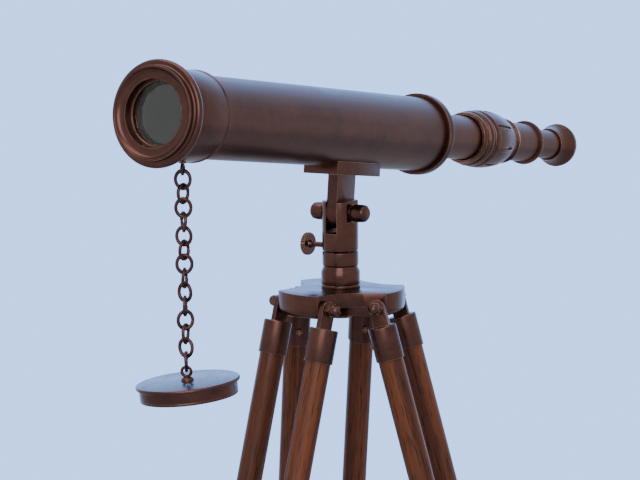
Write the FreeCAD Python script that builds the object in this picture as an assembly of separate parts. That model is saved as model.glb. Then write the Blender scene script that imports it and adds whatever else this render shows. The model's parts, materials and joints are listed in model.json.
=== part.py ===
"""Floor-standing draw telescope on a three-legged wooden tripod. Millimetres, +Z up.

+X is the way the objective points, and the tilt pivot runs along Y. Everything is laid out round the
tripod head's own axis with the floor at z = 0. At the end the whole model is moved sideways, so that
the origin lies on the floor under the middle of the object's box.
"""
import FreeCAD, Part
import math
import os

Vector = FreeCAD.Vector
UP = Vector(0, 0, 1)
TILT_AXIS = Vector(0, 1, 0)

# ---- clearances -------------------------------------------------------------------------------
RUNNING = 0.06            # radial clearance of a shaft or tube that turns or slides in its bore
SIDE_GAP = 0.4            # gap beside a part that swings between two others
GUIDE_GAP = 0.3           # gap round the wooden dowels in the leg guides
LINK_GAP = 0.1            # slack between two links of the chain
POLE_FLAT = 0.25          # radius of the small flat at the middle of a domed face

# ---- stance -----------------------------------------------------------------------------------
LEG_LENGTH = 1103.0       # from the leg pivot to the floor, along the leg
SPLAY = 14.7              # lean of each leg from the vertical, degrees
LOBE_TURN = -15.9         # direction of the first lobe from +X, degrees
LEG_NAMES = ("leg_a", "leg_b", "leg_c")
REST_TILT = 7.11          # the objective's rise at rest, degrees

# ---- tripod head ------------------------------------------------------------------------------
PIVOT_RADIUS = 37.8       # leg pivots from the head's axis
PIVOT_DROP = 10.2         # leg pivots under the plate's top
LOBE_HALF_WIDTH = 23.1
LOBE_BEYOND_PIVOT = 12.2
LOBE_THICKNESS = 18.3
LOBE_UNDER_ROUND = 6.0
WEB_THICKNESS = 11.0
WEB_CORNER = 28.2         # where a lobe's flat side meets the web, along the lobe
WEB_WAIST = 33.0          # from the axis to the middle of a scallop
STUD_RADIUS = 3.0
WASHER_RADIUS = 5.2
WASHER_THICKNESS = 1.0
NUT_FLATS = 9.4           # across the flats of a dome nut
NUT_BASE = 3.4
DOME_RADIUS = 4.4
DOME_SIDE = 2.4           # straight side under the dome

# ---- column and clevis ------------------------------------------------------------------------
BASE_OVERHANG = 1.07      # of the column's foot beyond the clevis
BASE_FLANGE = 2.7         # plain foot of the column, under its line
BASE_LINE = 0.6           # width and depth of the turned line
BASE_TOP = 12.9
NECK_INSET = 0.7          # depth of the waist under the neck
NECK_BOTTOM = 17.4
COLUMN_TOP = 28.6
SPINDLE_RADIUS = 6.0
SPINDLE_HEAD_RADIUS = 10.0
SPINDLE_HEAD = 5.0
SPINDLE_TOP = 40.0
SPINDLE_GROOVE = 1.2      # depth of the groove that the pan lock bears in
CLEVIS_RADIUS = 14.13
CLEVIS_BOTTOM = 29.2
CLEVIS_TOP = 68.5
CLEVIS_EDGE = 0.7
BORE_HEADROOM = 1.0
SLOT_DEPTH = 2.9          # room under the tongue's rounded end
EAR_FLAT_CUT = 2.83       # depth of the flat on each ear
EAR_FLAT_DROP = 0.6       # the flats run this far under the tilt knobs
TILT_HEIGHT = 59.07       # tilt pivot above the plate's top
TILT_STUD_RADIUS = 3.0
TILT_WASHER_RADIUS = 5.6
TILT_KNOB_RADIUS = 7.0
TILT_KNOB_LENGTH = 13.0
PAN_LOCK_HEIGHT = 32.4

# ---- thumbscrews ------------------------------------------------------------------------------
THUMB_TEETH = 26
THUMB_TOOTH_DEPTH = 0.7
PAN_STEM_RADIUS = 2.1
PAN_STEM_SHOWN = 13.6     # from the clevis to the head
PAN_HEAD_RADIUS = 9.0
PAN_HEAD_THICKNESS = 4.2
LEG_STEM_RADIUS = 2.0
LEG_STEM_SHOWN = 9.0
LEG_HEAD_RADIUS = 7.5
LEG_HEAD_THICKNESS = 3.6

# ---- saddle -----------------------------------------------------------------------------------
SADDLE_SEAT = 6.0         # saddle's thickness under the barrel's lowest line
TONGUE_THICKNESS = 9.2
TONGUE_HALF_LENGTH = 12.8
SADDLE_UNDERSIDE = 29.0   # above the tilt pivot
SADDLE_HALF_LENGTH = 31.5
SADDLE_WIDTH_SHARE = 0.5133   # half-width of the saddle over the barrel's radius
SADDLE_SCREW_PLACE = 23.0
SADDLE_SCREW_RADIUS = 2.0
SADDLE_SCREW_HEAD = 3.8

# ---- barrel, collar and objective; stations run along the barrel axis from above the pivot ------
BARREL_RADIUS = 30.0
BARREL_WALL = 1.5
BARREL_FRONT = 241.0
BARREL_REAR = -116.0
COLLAR_WALL = 2.5
COLLAR_LENGTH = 37.3
COLLAR_GAP = 0.4          # line between the collar and the bezel
COLLAR_BEAD = 0.5         # height of the bead round the collar's rear edge
COLLAR_BEAD_LENGTH = 2.4
BEZEL_OVERHANG = 7.9      # bezel's widest line over the barrel
BEZEL_BACK_OVERHANG = 4.6
BEZEL_WIDEST_AHEAD = 5.0  # ahead of the barrel's end, as the next three
SPIGOT_BACK_AHEAD = 7.4
APERTURE_AHEAD = 9.8
LIP_AHEAD = 12.3
SPIGOT_OVERHANG = 3.1
LIP_THICKNESS = 1.6
CELL_WALL = 4.4           # between the barrel's bore and the aperture
APERTURE_EDGE = 0.8
CELL_LENGTH = 15.0        # inside the barrel
CELL_LEDGE = 13.0          # the glass lies close behind the aperture
CELL_LEDGE_WIDTH = 2.6
LENS_EDGE = 3.0
LENS_BULGE = 3.2
LENS_SEAT_GAP = 0.1
RETAINER_LENGTH = 2.6
RETAINER_WIDTH = 1.9
REAR_RING_WALL = 3.15
REAR_RING_OVERLAP = 7.2   # of the ring over the barrel
REAR_RING_FULL_OVERLAP = 0.2
REAR_RING_NOSE_LENGTH = 8.0
REAR_RING_NOSE_WALL = 2.3
REAR_RING_LINE = 0.5
REAR_RING_BUSH = 20.0     # length of the sleeve inside that guides the first draw
SLEEVE_WALL = 2.5

# ---- draw tubes; each shown length is what stands out at rest -----------------------------------
DRAW_1_RADIUS = 18.3
DRAW_WALL = 1.0
BUSH_2_WALL = 0.7         # of the guide bush between draws 1 and 2
BUSH_3_WALL = 3.0
DRAW_1_SHOWN = 64.7
DRAW_2_SHOWN = 42.4
DRAW_3_SHOWN = 42.0
DRAW_1_INSIDE = 80.0      # of each draw's front end inside the one before it
DRAW_2_INSIDE = 97.0
DRAW_3_INSIDE = 68.0
BUSH_LENGTH = 14.0
GRIP_LENGTH = 68.3
GRIP_FLANGE_LENGTH = 7.3
GRIP_RING_LENGTH = 9.0
GRIP_BODY_LENGTH = 38.0
GRIP_STEP_LENGTH = 10.0   # of the first draw inside the grip's body
GRIP_FLANGE_WALL = 3.7
GRIP_RING_WALL = 5.1
GRIP_BODY_WALL = 6.3
GRIP_BODY_REAR_WALL = 3.0
GRIP_TAIL_WALL = 2.3
GRIP_GROOVE = 1.0
GRIP_GROOVE_WIDTH = 1.2
GRIP_SLOTS = 8
GRIP_SLOT_TURN = 27.0
GRIP_SLOT_START = 22.9    # behind the grip's front
GRIP_SLOT_LENGTH = 26.6
GRIP_SLOT_WIDTH = 2.2
GRIP_SLOT_DEPTH = 1.6
END_RING_WALL = 2.36
END_RING_LENGTH = 4.6
END_RING_SLEEVE = 12.0
EYEPIECE_RING_WALL = 1.7
EYEPIECE_RING_LENGTH = 4.0
EYEPIECE_CUP_WALL = 6.6
EYEPIECE_RIM_WALL = 3.8
EYEPIECE_WIDEST_BACK = 17.6   # behind the eyepiece's front
EYEPIECE_LENGTH = 24.6
EYE_HOLE_RADIUS = 5.0
EYE_DISH_DEPTH = 4.2
EYE_DISH_WALL = 0.8
EYE_LENS_INSET = 3.6
EYE_LENS_BACK = 8.0
EYE_LENS_THICKNESS = 4.0
ERECTOR_BACK = 26.0       # behind the third draw's front end
ERECTOR_THICKNESS = 4.0

# ---- chain and lens cap -----------------------------------------------------------------------
CHAIN_AHEAD = 9.7         # of the chain's eye from the collar's rear edge
EYE_RING_RADIUS = 3.4     # of the ring's middle line
EYE_WIRE = 1.1
EYE_SHANK = 1.6
LINK_LENGTH = 14.1
LINK_WIDTH = 12.6
LINK_WIRE = 1.0           # radius of the chain's wire
LINKS_EACH_HALF = 7
CHAIN_TURN = 112.0        # direction of the flat of the odd links from +X, degrees
CAP_OVERHANG = 4.4        # of the cap's disc over the spigot
CAP_DISC = 2.8
CAP_SKIRT = 8.8
CAP_SKIRT_WALL = 1.8
CAP_ON_SPIGOT = 0.3
CAP_LEAN = 5.4            # lean of the hanging cap, degrees
CAP_LEAN_TURN = 32.1      # the line that it leans about, from +X, degrees
KNOB_RADIUS = 4.6
KNOB_HEIGHT = 2.6

# ---- legs; depths run down the leg from its pivot -----------------------------------------------
DOWEL_RADIUS = 9.73
DOWEL_OFFSET = 0.55       # of the dowel's axis outwards from the middle of its tab
TAB_WIDTH = 12.4
TAB_THICKNESS = 4.4
FERRULE_TOP = 15.0
FERRULE_LENGTH = 26.0
FERRULE_WALL = 1.27
FERRULE_ROOF = 3.0
FERRULE_SCREW_DEPTH = 13.5
SCREW_RADIUS = 1.5
SCREW_LENGTH = 9.0
SCREW_HEAD_RADIUS = 2.7
SCREW_HEAD_HEIGHT = 1.3
SCREW_SLOT = 0.8
OUTER_DOWEL_LENGTH = 600.0
BRACKET_HEIGHT = 34.0
BRACKET_SOCKET = 22.0
BRACKET_WALL = 3.0
BRACKET_WEB = 10.0
SLIDE_INSIDE = 139.0      # of the middle dowel above the lower bracket
GUIDE_HEIGHT = 18.0
GUIDE_WALL = 2.6
GUIDE_WEB = 8.0
FOOT_SOCKET = 26.0
FOOT_WALL = 1.6
FOOT_CONE = 26.0
FOOT_TIP_RADIUS = 3.0

# ---- worked out from the sizes above ------------------------------------------------------------
PIVOT_HEIGHT = LEG_LENGTH * math.cos(math.radians(SPLAY))
PLATE_TOP = PIVOT_HEIGHT + PIVOT_DROP
TILT_PIVOT = Vector(0, 0, PLATE_TOP + TILT_HEIGHT)
TILT_BORE = TILT_STUD_RADIUS + RUNNING
LOBE_REACH = PIVOT_RADIUS + LOBE_BEYOND_PIVOT
BASE_RADIUS = CLEVIS_RADIUS + BASE_OVERHANG
NECK_RADIUS = CLEVIS_RADIUS
NECK_WAIST = NECK_RADIUS - NECK_INSET
EAR_FLAT = CLEVIS_RADIUS - EAR_FLAT_CUT
SLOT_BOTTOM = TILT_HEIGHT - TONGUE_HALF_LENGTH - SLOT_DEPTH
AXIS_HEIGHT = SADDLE_UNDERSIDE + SADDLE_SEAT + BARREL_RADIUS
SADDLE_HALF_WIDTH = SADDLE_WIDTH_SHARE * BARREL_RADIUS
EAR_FLAT_BOTTOM = TILT_HEIGHT - TILT_KNOB_RADIUS - EAR_FLAT_DROP
SLOT_WIDTH = TONGUE_THICKNESS + 2 * SIDE_GAP
TAB_INSIDE = LOBE_HALF_WIDTH + WASHER_THICKNESS
DOWEL_HALF_SPACING = TAB_INSIDE + TAB_THICKNESS / 2 + DOWEL_OFFSET
FERRULE_RADIUS = DOWEL_RADIUS + FERRULE_WALL
FERRULE_BOTTOM = FERRULE_TOP + FERRULE_LENGTH
DOWEL_TOP = FERRULE_TOP + FERRULE_ROOF
DOWEL_BOTTOM = DOWEL_TOP + OUTER_DOWEL_LENGTH
BRACKET_TOP = DOWEL_BOTTOM - BRACKET_SOCKET
SLIDE_BOTTOM = LEG_LENGTH - FOOT_CONE
SLIDE_TOP = BRACKET_TOP - SLIDE_INSIDE
LINK_PITCH = LINK_LENGTH - 4 * LINK_WIRE - LINK_GAP
BARREL_BORE = BARREL_RADIUS - BARREL_WALL
COLLAR_RADIUS = BARREL_RADIUS + COLLAR_WALL
COLLAR_FRONT = BARREL_FRONT - COLLAR_GAP
COLLAR_REAR = COLLAR_FRONT - COLLAR_LENGTH
CHAIN_STATION = COLLAR_REAR + CHAIN_AHEAD
BEZEL_RADIUS = BARREL_RADIUS + BEZEL_OVERHANG
BEZEL_BACK_RADIUS = BARREL_RADIUS + BEZEL_BACK_OVERHANG
BEZEL_WIDEST = BARREL_FRONT + BEZEL_WIDEST_AHEAD
SPIGOT_RADIUS = BARREL_RADIUS + SPIGOT_OVERHANG
SPIGOT_BACK = BARREL_FRONT + SPIGOT_BACK_AHEAD
LIP_FRONT = BARREL_FRONT + LIP_AHEAD
APERTURE_FRONT = BARREL_FRONT + APERTURE_AHEAD
APERTURE_RADIUS = BARREL_BORE - CELL_WALL
CELL_REAR = BARREL_FRONT - CELL_LENGTH
CELL_LEDGE_RADIUS = APERTURE_RADIUS - CELL_LEDGE_WIDTH
RETAINER_RADIUS = APERTURE_RADIUS - RETAINER_WIDTH
REAR_RING_RADIUS = BARREL_RADIUS + REAR_RING_WALL
REAR_RING_FRONT = BARREL_REAR + REAR_RING_OVERLAP
REAR_RING_FULL = BARREL_REAR + REAR_RING_FULL_OVERLAP
REAR_RING_NOSE = BARREL_REAR - REAR_RING_NOSE_LENGTH
REAR_RING_NOSE_RADIUS = DRAW_1_RADIUS + REAR_RING_NOSE_WALL
DRAW_2_RADIUS = DRAW_1_RADIUS - DRAW_WALL - BUSH_2_WALL
DRAW_3_RADIUS = DRAW_2_RADIUS - DRAW_WALL - BUSH_3_WALL
DRAW_1_FRONT = REAR_RING_NOSE + DRAW_1_INSIDE
GRIP_FRONT = REAR_RING_NOSE - DRAW_1_SHOWN
GRIP_FLANGE_REAR = GRIP_FRONT - GRIP_FLANGE_LENGTH
GRIP_RING_REAR = GRIP_FLANGE_REAR - GRIP_RING_LENGTH
GRIP_BODY_REAR = GRIP_RING_REAR - GRIP_BODY_LENGTH
GRIP_REAR = GRIP_FRONT - GRIP_LENGTH
GRIP_FLANGE_RADIUS = DRAW_1_RADIUS + GRIP_FLANGE_WALL
GRIP_RING_RADIUS = DRAW_1_RADIUS + GRIP_RING_WALL
GRIP_BODY_RADIUS = DRAW_1_RADIUS + GRIP_BODY_WALL
GRIP_BODY_REAR_RADIUS = DRAW_1_RADIUS + GRIP_BODY_REAR_WALL
GRIP_TAIL_RADIUS = DRAW_2_RADIUS + GRIP_TAIL_WALL
GRIP_SLOT_FRONT = GRIP_FRONT - GRIP_SLOT_START
GRIP_SLOT_REAR = GRIP_SLOT_FRONT - GRIP_SLOT_LENGTH
DRAW_2_FRONT = GRIP_REAR + DRAW_2_INSIDE
END_RING_FRONT = GRIP_REAR - DRAW_2_SHOWN
END_RING_REAR = END_RING_FRONT - END_RING_LENGTH
END_RING_RADIUS = DRAW_2_RADIUS + END_RING_WALL
DRAW_3_FRONT = END_RING_REAR + DRAW_3_INSIDE
EYEPIECE_FRONT = END_RING_REAR - DRAW_3_SHOWN
EYEPIECE_RING_REAR = EYEPIECE_FRONT - EYEPIECE_RING_LENGTH
EYEPIECE_WIDEST = EYEPIECE_FRONT - EYEPIECE_WIDEST_BACK
EYEPIECE_REAR = EYEPIECE_FRONT - EYEPIECE_LENGTH
EYEPIECE_RING_RADIUS = DRAW_3_RADIUS + EYEPIECE_RING_WALL
EYEPIECE_CUP_RADIUS = DRAW_3_RADIUS + EYEPIECE_CUP_WALL
EYEPIECE_RIM_RADIUS = DRAW_3_RADIUS + EYEPIECE_RIM_WALL
EYE_DISH_RADIUS = DRAW_3_RADIUS + EYE_DISH_WALL
EYE_LENS_RADIUS = DRAW_3_RADIUS - EYE_LENS_INSET
ERECTOR_PLACE = DRAW_3_FRONT - ERECTOR_BACK
CAP_RADIUS = SPIGOT_RADIUS + CAP_OVERHANG
CAP_BORE = SPIGOT_RADIUS + CAP_ON_SPIGOT
CAP_SKIRT_RADIUS = CAP_BORE + CAP_SKIRT_WALL


# ---- shape helpers --------------------------------------------------------------------------------
def outline_face(points, place):
    """Face inside a closed outline. A pair is a corner; four numbers are an arc's middle and its end."""
    here = place(*points[0])
    edges = []
    for step in points[1:] + [points[0]]:
        there = place(*step[-2:])
        if len(step) == 4:
            edges.append(Part.Arc(here, place(*step[:2]), there).toShape())
        elif there.distanceToPoint(here) > 1e-6:
            edges.append(Part.LineSegment(here, there).toShape())
        here = there
    return Part.Face(Part.Wire(edges))


def turned_x(points):
    """Solid turned about the X axis from an outline of (station, radius)."""
    face = outline_face(points, lambda x, r: Vector(x, 0, r))
    return face.revolve(Vector(0, 0, 0), Vector(1, 0, 0), 360)


def turned_z(points):
    """Solid turned about the Z axis from an outline of (radius, height)."""
    face = outline_face(points, lambda r, z: Vector(r, 0, z))
    return face.revolve(Vector(0, 0, 0), UP, 360)


def prism(points, bottom, height):
    """Upright prism over an outline in plan."""
    return outline_face(points, lambda x, y: Vector(x, y, bottom)).extrude(Vector(0, 0, height))


def block(low, high):
    """Box from its lowest to its highest corner."""
    size = [high[i] - low[i] for i in range(3)]
    return Part.makeBox(*size, Vector(*low))


def rod(radius, start, end):
    """Round rod between two points."""
    along = Vector(*end) - Vector(*start)
    return Part.makeCylinder(radius, along.Length, Vector(*start), along)


def moved(shape, shift):
    copy = shape.copy()
    copy.translate(Vector(*shift))
    return copy


def rotated(shape, centre, axis, angle):
    copy = shape.copy()
    copy.rotate(Vector(*centre), Vector(*axis), angle)
    return copy


def heading(angle):
    """Level unit vector at an angle from +X."""
    return Vector(math.cos(math.radians(angle)), math.sin(math.radians(angle)), 0)


def knurled_disc(radius, thickness):
    """Disc with straight knurling, standing on z = 0, its two faces slightly chamfered."""
    corners = []
    for step in range(2 * THUMB_TEETH):
        reach = radius - THUMB_TOOTH_DEPTH * (step % 2)
        turn = math.pi * step / THUMB_TEETH
        corners.append((reach * math.cos(turn), reach * math.sin(turn)))
    edge = THUMB_TOOTH_DEPTH
    blank = turned_z([(0, 0), (radius - edge, 0), (radius, edge), (radius, thickness - edge),
                      (radius - edge, thickness), (0, thickness)])
    return prism(corners, 0, thickness).common(blank)


def thumbscrew(stem_radius, inner_end, head_start, head_radius, head_thickness):
    """Thumbscrew along +X, from the inner end of its stem to its knurled head."""
    head = rotated(knurled_disc(head_radius, head_thickness), (0, 0, 0), (0, 1, 0), 90)
    stem = rod(stem_radius, (inner_end, 0, 0), (head_start, 0, 0))
    shoulder = turned_x([(head_start - 2, 0), (head_start - 2, stem_radius),
                         (head_start, stem_radius + 1.4), (head_start, 0)])
    return stem.fuse([shoulder, moved(head, (head_start, 0, 0))]).removeSplitter()


def dome_nut():
    """Domed nut on the stud's end, standing on z = 0."""
    reach = NUT_FLATS / 2 / math.cos(math.radians(30))
    corners = [(reach * math.cos(math.radians(60 * i)), reach * math.sin(math.radians(60 * i)))
               for i in range(6)]
    hexagon = prism(corners, 0, NUT_BASE)
    side = rod(DOME_RADIUS, (0, 0, 0), (0, 0, NUT_BASE + DOME_SIDE))
    dome = Part.makeSphere(DOME_RADIUS, Vector(0, 0, NUT_BASE + DOME_SIDE), UP, 0, 90, 360)
    return hexagon.fuse([side, dome]).removeSplitter()


def pan_screw():
    """Cross-slotted screw along +Z: its head stands on z = 0, its shank goes down."""
    crown = SCREW_HEAD_HEIGHT * 0.55
    head = turned_z([(0, 0), (SCREW_HEAD_RADIUS, 0), (SCREW_HEAD_RADIUS, crown),
                     (SCREW_HEAD_RADIUS * 0.75, SCREW_HEAD_HEIGHT * 0.9, POLE_FLAT, SCREW_HEAD_HEIGHT),
                     (0, SCREW_HEAD_HEIGHT)])
    shank = rod(SCREW_RADIUS, (0, 0, -SCREW_LENGTH), (0, 0, 0))
    half = SCREW_SLOT / 2
    reach = SCREW_HEAD_RADIUS * 0.7
    slots = [block((-reach, -half, SCREW_HEAD_HEIGHT / 3), (reach, half, SCREW_HEAD_HEIGHT)),
             block((-half, -reach, SCREW_HEAD_HEIGHT / 3), (half, reach, SCREW_HEAD_HEIGHT))]
    return head.fuse(shank).cut(slots)


def lens(radius, edge, front_bulge, rear_bulge, front_edge):
    """Lens along X with its front rim at a station; each bulge may be zero for a flat face."""
    rear_edge = front_edge - edge
    outline = [(front_edge + front_bulge, 0)]
    along = 0.5
    if front_bulge:
        outline.append((front_edge + front_bulge, POLE_FLAT))
        outline.append((front_edge + front_bulge * (1 - along * along), radius * along, front_edge, radius))
    else:
        outline.append((front_edge, radius))
    outline.append((rear_edge, radius))
    if rear_bulge:
        outline.append((rear_edge - rear_bulge * (1 - along * along), radius * along,
                        rear_edge - rear_bulge, POLE_FLAT))
    outline.append((rear_edge - rear_bulge, 0))
    return turned_x(outline)


# ---- frames -----------------------------------------------------------------------------------------
def on_head(shape):
    """From heights above the plate's top to heights above the floor."""
    return moved(shape, (0, 0, PLATE_TOP))


def on_scope(shape, turned=True):
    """From the barrel's own axis to its place over the tilt pivot, with the rest tilt."""
    placed = moved(shape, (0, 0, AXIS_HEIGHT)) if turned else shape
    placed = rotated(placed, (0, 0, 0), TILT_AXIS, -REST_TILT)
    return moved(placed, TILT_PIVOT)


def scope_point(station, height):
    """Point over the tilt pivot, given along the barrel and up from the pivot."""
    lean = FreeCAD.Rotation(TILT_AXIS, -REST_TILT)
    return TILT_PIVOT + lean.multVec(Vector(station, 0, height))


def scope_direction():
    """Unit vector along the barrel, towards the objective."""
    return FreeCAD.Rotation(TILT_AXIS, -REST_TILT).multVec(Vector(1, 0, 0))


def leg_turn(index):
    return LOBE_TURN + 120.0 * index


def on_leg(shape, index):
    """From the leg's own frame (pivot at the origin, leg down -Z, outwards +X) to its place."""
    leaned = rotated(shape, (0, 0, 0), (0, 1, 0), -SPLAY)
    turned = rotated(leaned, (0, 0, 0), UP, leg_turn(index))
    return moved(turned, leg_pivot(index))


def leg_pivot(index):
    return heading(leg_turn(index)) * PIVOT_RADIUS + Vector(0, 0, PIVOT_HEIGHT)


def leg_direction(index):
    """Unit vector down the leg."""
    lean = math.radians(SPLAY)
    return heading(leg_turn(index)) * math.sin(lean) - UP * math.cos(lean)


# ---- tripod head ------------------------------------------------------------------------------------
def head_plate():
    web_reach = math.hypot(WEB_CORNER, LOBE_HALF_WIDTH)
    corner_turn = math.degrees(math.atan2(LOBE_HALF_WIDTH, WEB_CORNER))
    web_points = []
    for index in range(3):
        before = heading(120 * index - corner_turn) * web_reach
        after = heading(120 * index + corner_turn) * web_reach
        waist = heading(120 * index - 60) * WEB_WAIST
        if index == 0:
            web_points.append((before.x, before.y))
        else:
            web_points.append((waist.x, waist.y, before.x, before.y))
        web_points.append((after.x, after.y))
    waist = heading(-60) * WEB_WAIST
    first = heading(-corner_turn) * web_reach
    web_points.append((waist.x, waist.y, first.x, first.y))
    plate = prism(web_points, -WEB_THICKNESS, WEB_THICKNESS)
    flat_end = math.sqrt(LOBE_REACH ** 2 - LOBE_HALF_WIDTH ** 2)
    lobe = prism([(0, -LOBE_HALF_WIDTH), (flat_end, -LOBE_HALF_WIDTH),
                  (LOBE_REACH, 0, flat_end, LOBE_HALF_WIDTH), (0, LOBE_HALF_WIDTH)],
                 -LOBE_THICKNESS, LOBE_THICKNESS)
    lobe = lobe.common(turned_z([
        (0, 0), (LOBE_REACH + 1, 0), (LOBE_REACH + 1, LOBE_UNDER_ROUND - LOBE_THICKNESS),
        (LOBE_REACH, LOBE_UNDER_ROUND - LOBE_THICKNESS),
        (LOBE_REACH - 0.29 * LOBE_UNDER_ROUND, 0.29 * LOBE_UNDER_ROUND - LOBE_THICKNESS,
         LOBE_REACH - LOBE_UNDER_ROUND, -LOBE_THICKNESS), (0, -LOBE_THICKNESS)]))
    lobes = [rotated(lobe, (0, 0, 0), UP, 120 * index) for index in range(3)]
    stud_bore = rod(STUD_RADIUS, (PIVOT_RADIUS, -LOBE_HALF_WIDTH - 1, -PIVOT_DROP),
                    (PIVOT_RADIUS, LOBE_HALF_WIDTH + 1, -PIVOT_DROP))
    bores = [rotated(stud_bore, (0, 0, 0), UP, 120 * index) for index in range(3)]
    bores.append(rod(SPINDLE_RADIUS, (0, 0, -LOBE_THICKNESS - 1), (0, 0, 1)))
    plate = plate.fuse(lobes).removeSplitter().cut(bores)
    return on_head(rotated(plate, (0, 0, 0), UP, LOBE_TURN))


def column_base():
    line = BASE_LINE
    return on_head(turned_z([
        (SPINDLE_RADIUS, 0), (BASE_RADIUS, 0), (BASE_RADIUS, BASE_FLANGE - line),
        (BASE_RADIUS - line, BASE_FLANGE), (BASE_RADIUS, BASE_FLANGE + line),
        (BASE_RADIUS, BASE_TOP), (NECK_WAIST, NECK_BOTTOM - line), (NECK_WAIST, NECK_BOTTOM),
        (NECK_RADIUS, NECK_BOTTOM + line), (NECK_RADIUS, COLUMN_TOP - line),
        (NECK_RADIUS - line, COLUMN_TOP), (SPINDLE_RADIUS, COLUMN_TOP)]))


def pan_spindle():
    groove_bottom = PAN_LOCK_HEIGHT - PAN_STEM_RADIUS - RUNNING
    groove_top = PAN_LOCK_HEIGHT + PAN_STEM_RADIUS + RUNNING
    groove_radius = SPINDLE_RADIUS - SPINDLE_GROOVE
    underside = -LOBE_THICKNESS
    return on_head(turned_z([
        (0, underside - SPINDLE_HEAD), (SPINDLE_HEAD_RADIUS - 1, underside - SPINDLE_HEAD),
        (SPINDLE_HEAD_RADIUS, underside - SPINDLE_HEAD + 1), (SPINDLE_HEAD_RADIUS, underside),
        (SPINDLE_RADIUS, underside), (SPINDLE_RADIUS, groove_bottom), (groove_radius, groove_bottom),
        (groove_radius, groove_top), (SPINDLE_RADIUS, groove_top), (SPINDLE_RADIUS, SPINDLE_TOP - 1),
        (SPINDLE_RADIUS - 1, SPINDLE_TOP), (0, SPINDLE_TOP)]))


def leg_fastening(make, start):
    """A pair of like pieces on each leg stud, standing on +Z, moved out to a start from the lobe's middle."""
    pieces = []
    for index in range(3):
        for side in (1, -1):
            piece = rotated(moved(make(), (0, 0, start)), (0, 0, 0), (1, 0, 0), -90 * side)
            piece = moved(piece, (PIVOT_RADIUS, 0, -PIVOT_DROP))
            pieces.append(on_head(rotated(piece, (0, 0, 0), UP, leg_turn(index))))
    return pieces


def stud_reach():
    """End of each leg stud, and the inner face of its nut, from the lobe's middle."""
    return TAB_INSIDE + TAB_THICKNESS + SIDE_GAP / 2 + WASHER_THICKNESS


def leg_studs():
    studs = []
    for index in range(3):
        stud = rod(STUD_RADIUS, (PIVOT_RADIUS, -stud_reach(), -PIVOT_DROP),
                   (PIVOT_RADIUS, stud_reach(), -PIVOT_DROP))
        studs.append(on_head(rotated(stud, (0, 0, 0), UP, leg_turn(index))))
    return studs


def leg_washer():
    disc = rod(WASHER_RADIUS, (0, 0, 0), (0, 0, WASHER_THICKNESS))
    return disc.cut(rod(STUD_RADIUS, (0, 0, -1), (0, 0, WASHER_THICKNESS + 1)))


# ---- pan turret -------------------------------------------------------------------------------------
def clevis():
    edge = CLEVIS_EDGE
    body = turned_z([(0, CLEVIS_BOTTOM), (CLEVIS_RADIUS - edge, CLEVIS_BOTTOM),
                     (CLEVIS_RADIUS, CLEVIS_BOTTOM + edge), (CLEVIS_RADIUS, CLEVIS_TOP - edge),
                     (CLEVIS_RADIUS - edge, CLEVIS_TOP), (0, CLEVIS_TOP)])
    wide = 2 * CLEVIS_RADIUS
    high = CLEVIS_TOP + 1
    cuts = [block((-wide, -SLOT_WIDTH / 2, SLOT_BOTTOM), (wide, SLOT_WIDTH / 2, high)),
            block((-wide, EAR_FLAT, EAR_FLAT_BOTTOM), (wide, wide, high)),
            block((-wide, -wide, EAR_FLAT_BOTTOM), (wide, -EAR_FLAT, high)),
            rod(TILT_STUD_RADIUS, (0, -wide, TILT_HEIGHT), (0, wide, TILT_HEIGHT)),
            rod(SPINDLE_RADIUS + RUNNING, (0, 0, CLEVIS_BOTTOM - 1), (0, 0, SPINDLE_TOP + BORE_HEADROOM)),
            rod(PAN_STEM_RADIUS + RUNNING, (0, 0, PAN_LOCK_HEIGHT), (0, -wide, PAN_LOCK_HEIGHT))]
    return on_head(body.cut(cuts))


def pan_lock():
    screw = thumbscrew(PAN_STEM_RADIUS, SPINDLE_RADIUS - SPINDLE_GROOVE + SIDE_GAP,
                       CLEVIS_RADIUS + PAN_STEM_SHOWN, PAN_HEAD_RADIUS, PAN_HEAD_THICKNESS)
    return on_head(moved(rotated(screw, (0, 0, 0), UP, -90), (0, 0, PAN_LOCK_HEIGHT)))


def tilt_pair(make, start):
    """Like pieces on both ends of the tilt stud, each made standing on +Z."""
    return [moved(rotated(moved(make(), (0, 0, start)), (0, 0, 0), (1, 0, 0), -90 * side), TILT_PIVOT)
            for side in (1, -1)]


def tilt_stud():
    reach = EAR_FLAT + WASHER_THICKNESS
    return moved(rod(TILT_STUD_RADIUS, (0, -reach, 0), (0, reach, 0)), TILT_PIVOT)


def tilt_washer():
    disc = rod(TILT_WASHER_RADIUS, (0, 0, 0), (0, 0, WASHER_THICKNESS))
    return disc.cut(rod(TILT_STUD_RADIUS, (0, 0, -1), (0, 0, WASHER_THICKNESS + 1)))


def tilt_knob():
    length = TILT_KNOB_LENGTH
    crown = length - 2.6
    return turned_z([(0, 0), (TILT_KNOB_RADIUS - 1.6, 0), (TILT_KNOB_RADIUS - 0.4, 1.2),
                     (TILT_KNOB_RADIUS, (1.2 + crown) / 2, TILT_KNOB_RADIUS - 0.4, crown),
                     (TILT_KNOB_RADIUS * 0.6, crown + 2.0, POLE_FLAT, length), (0, length)])


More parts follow.
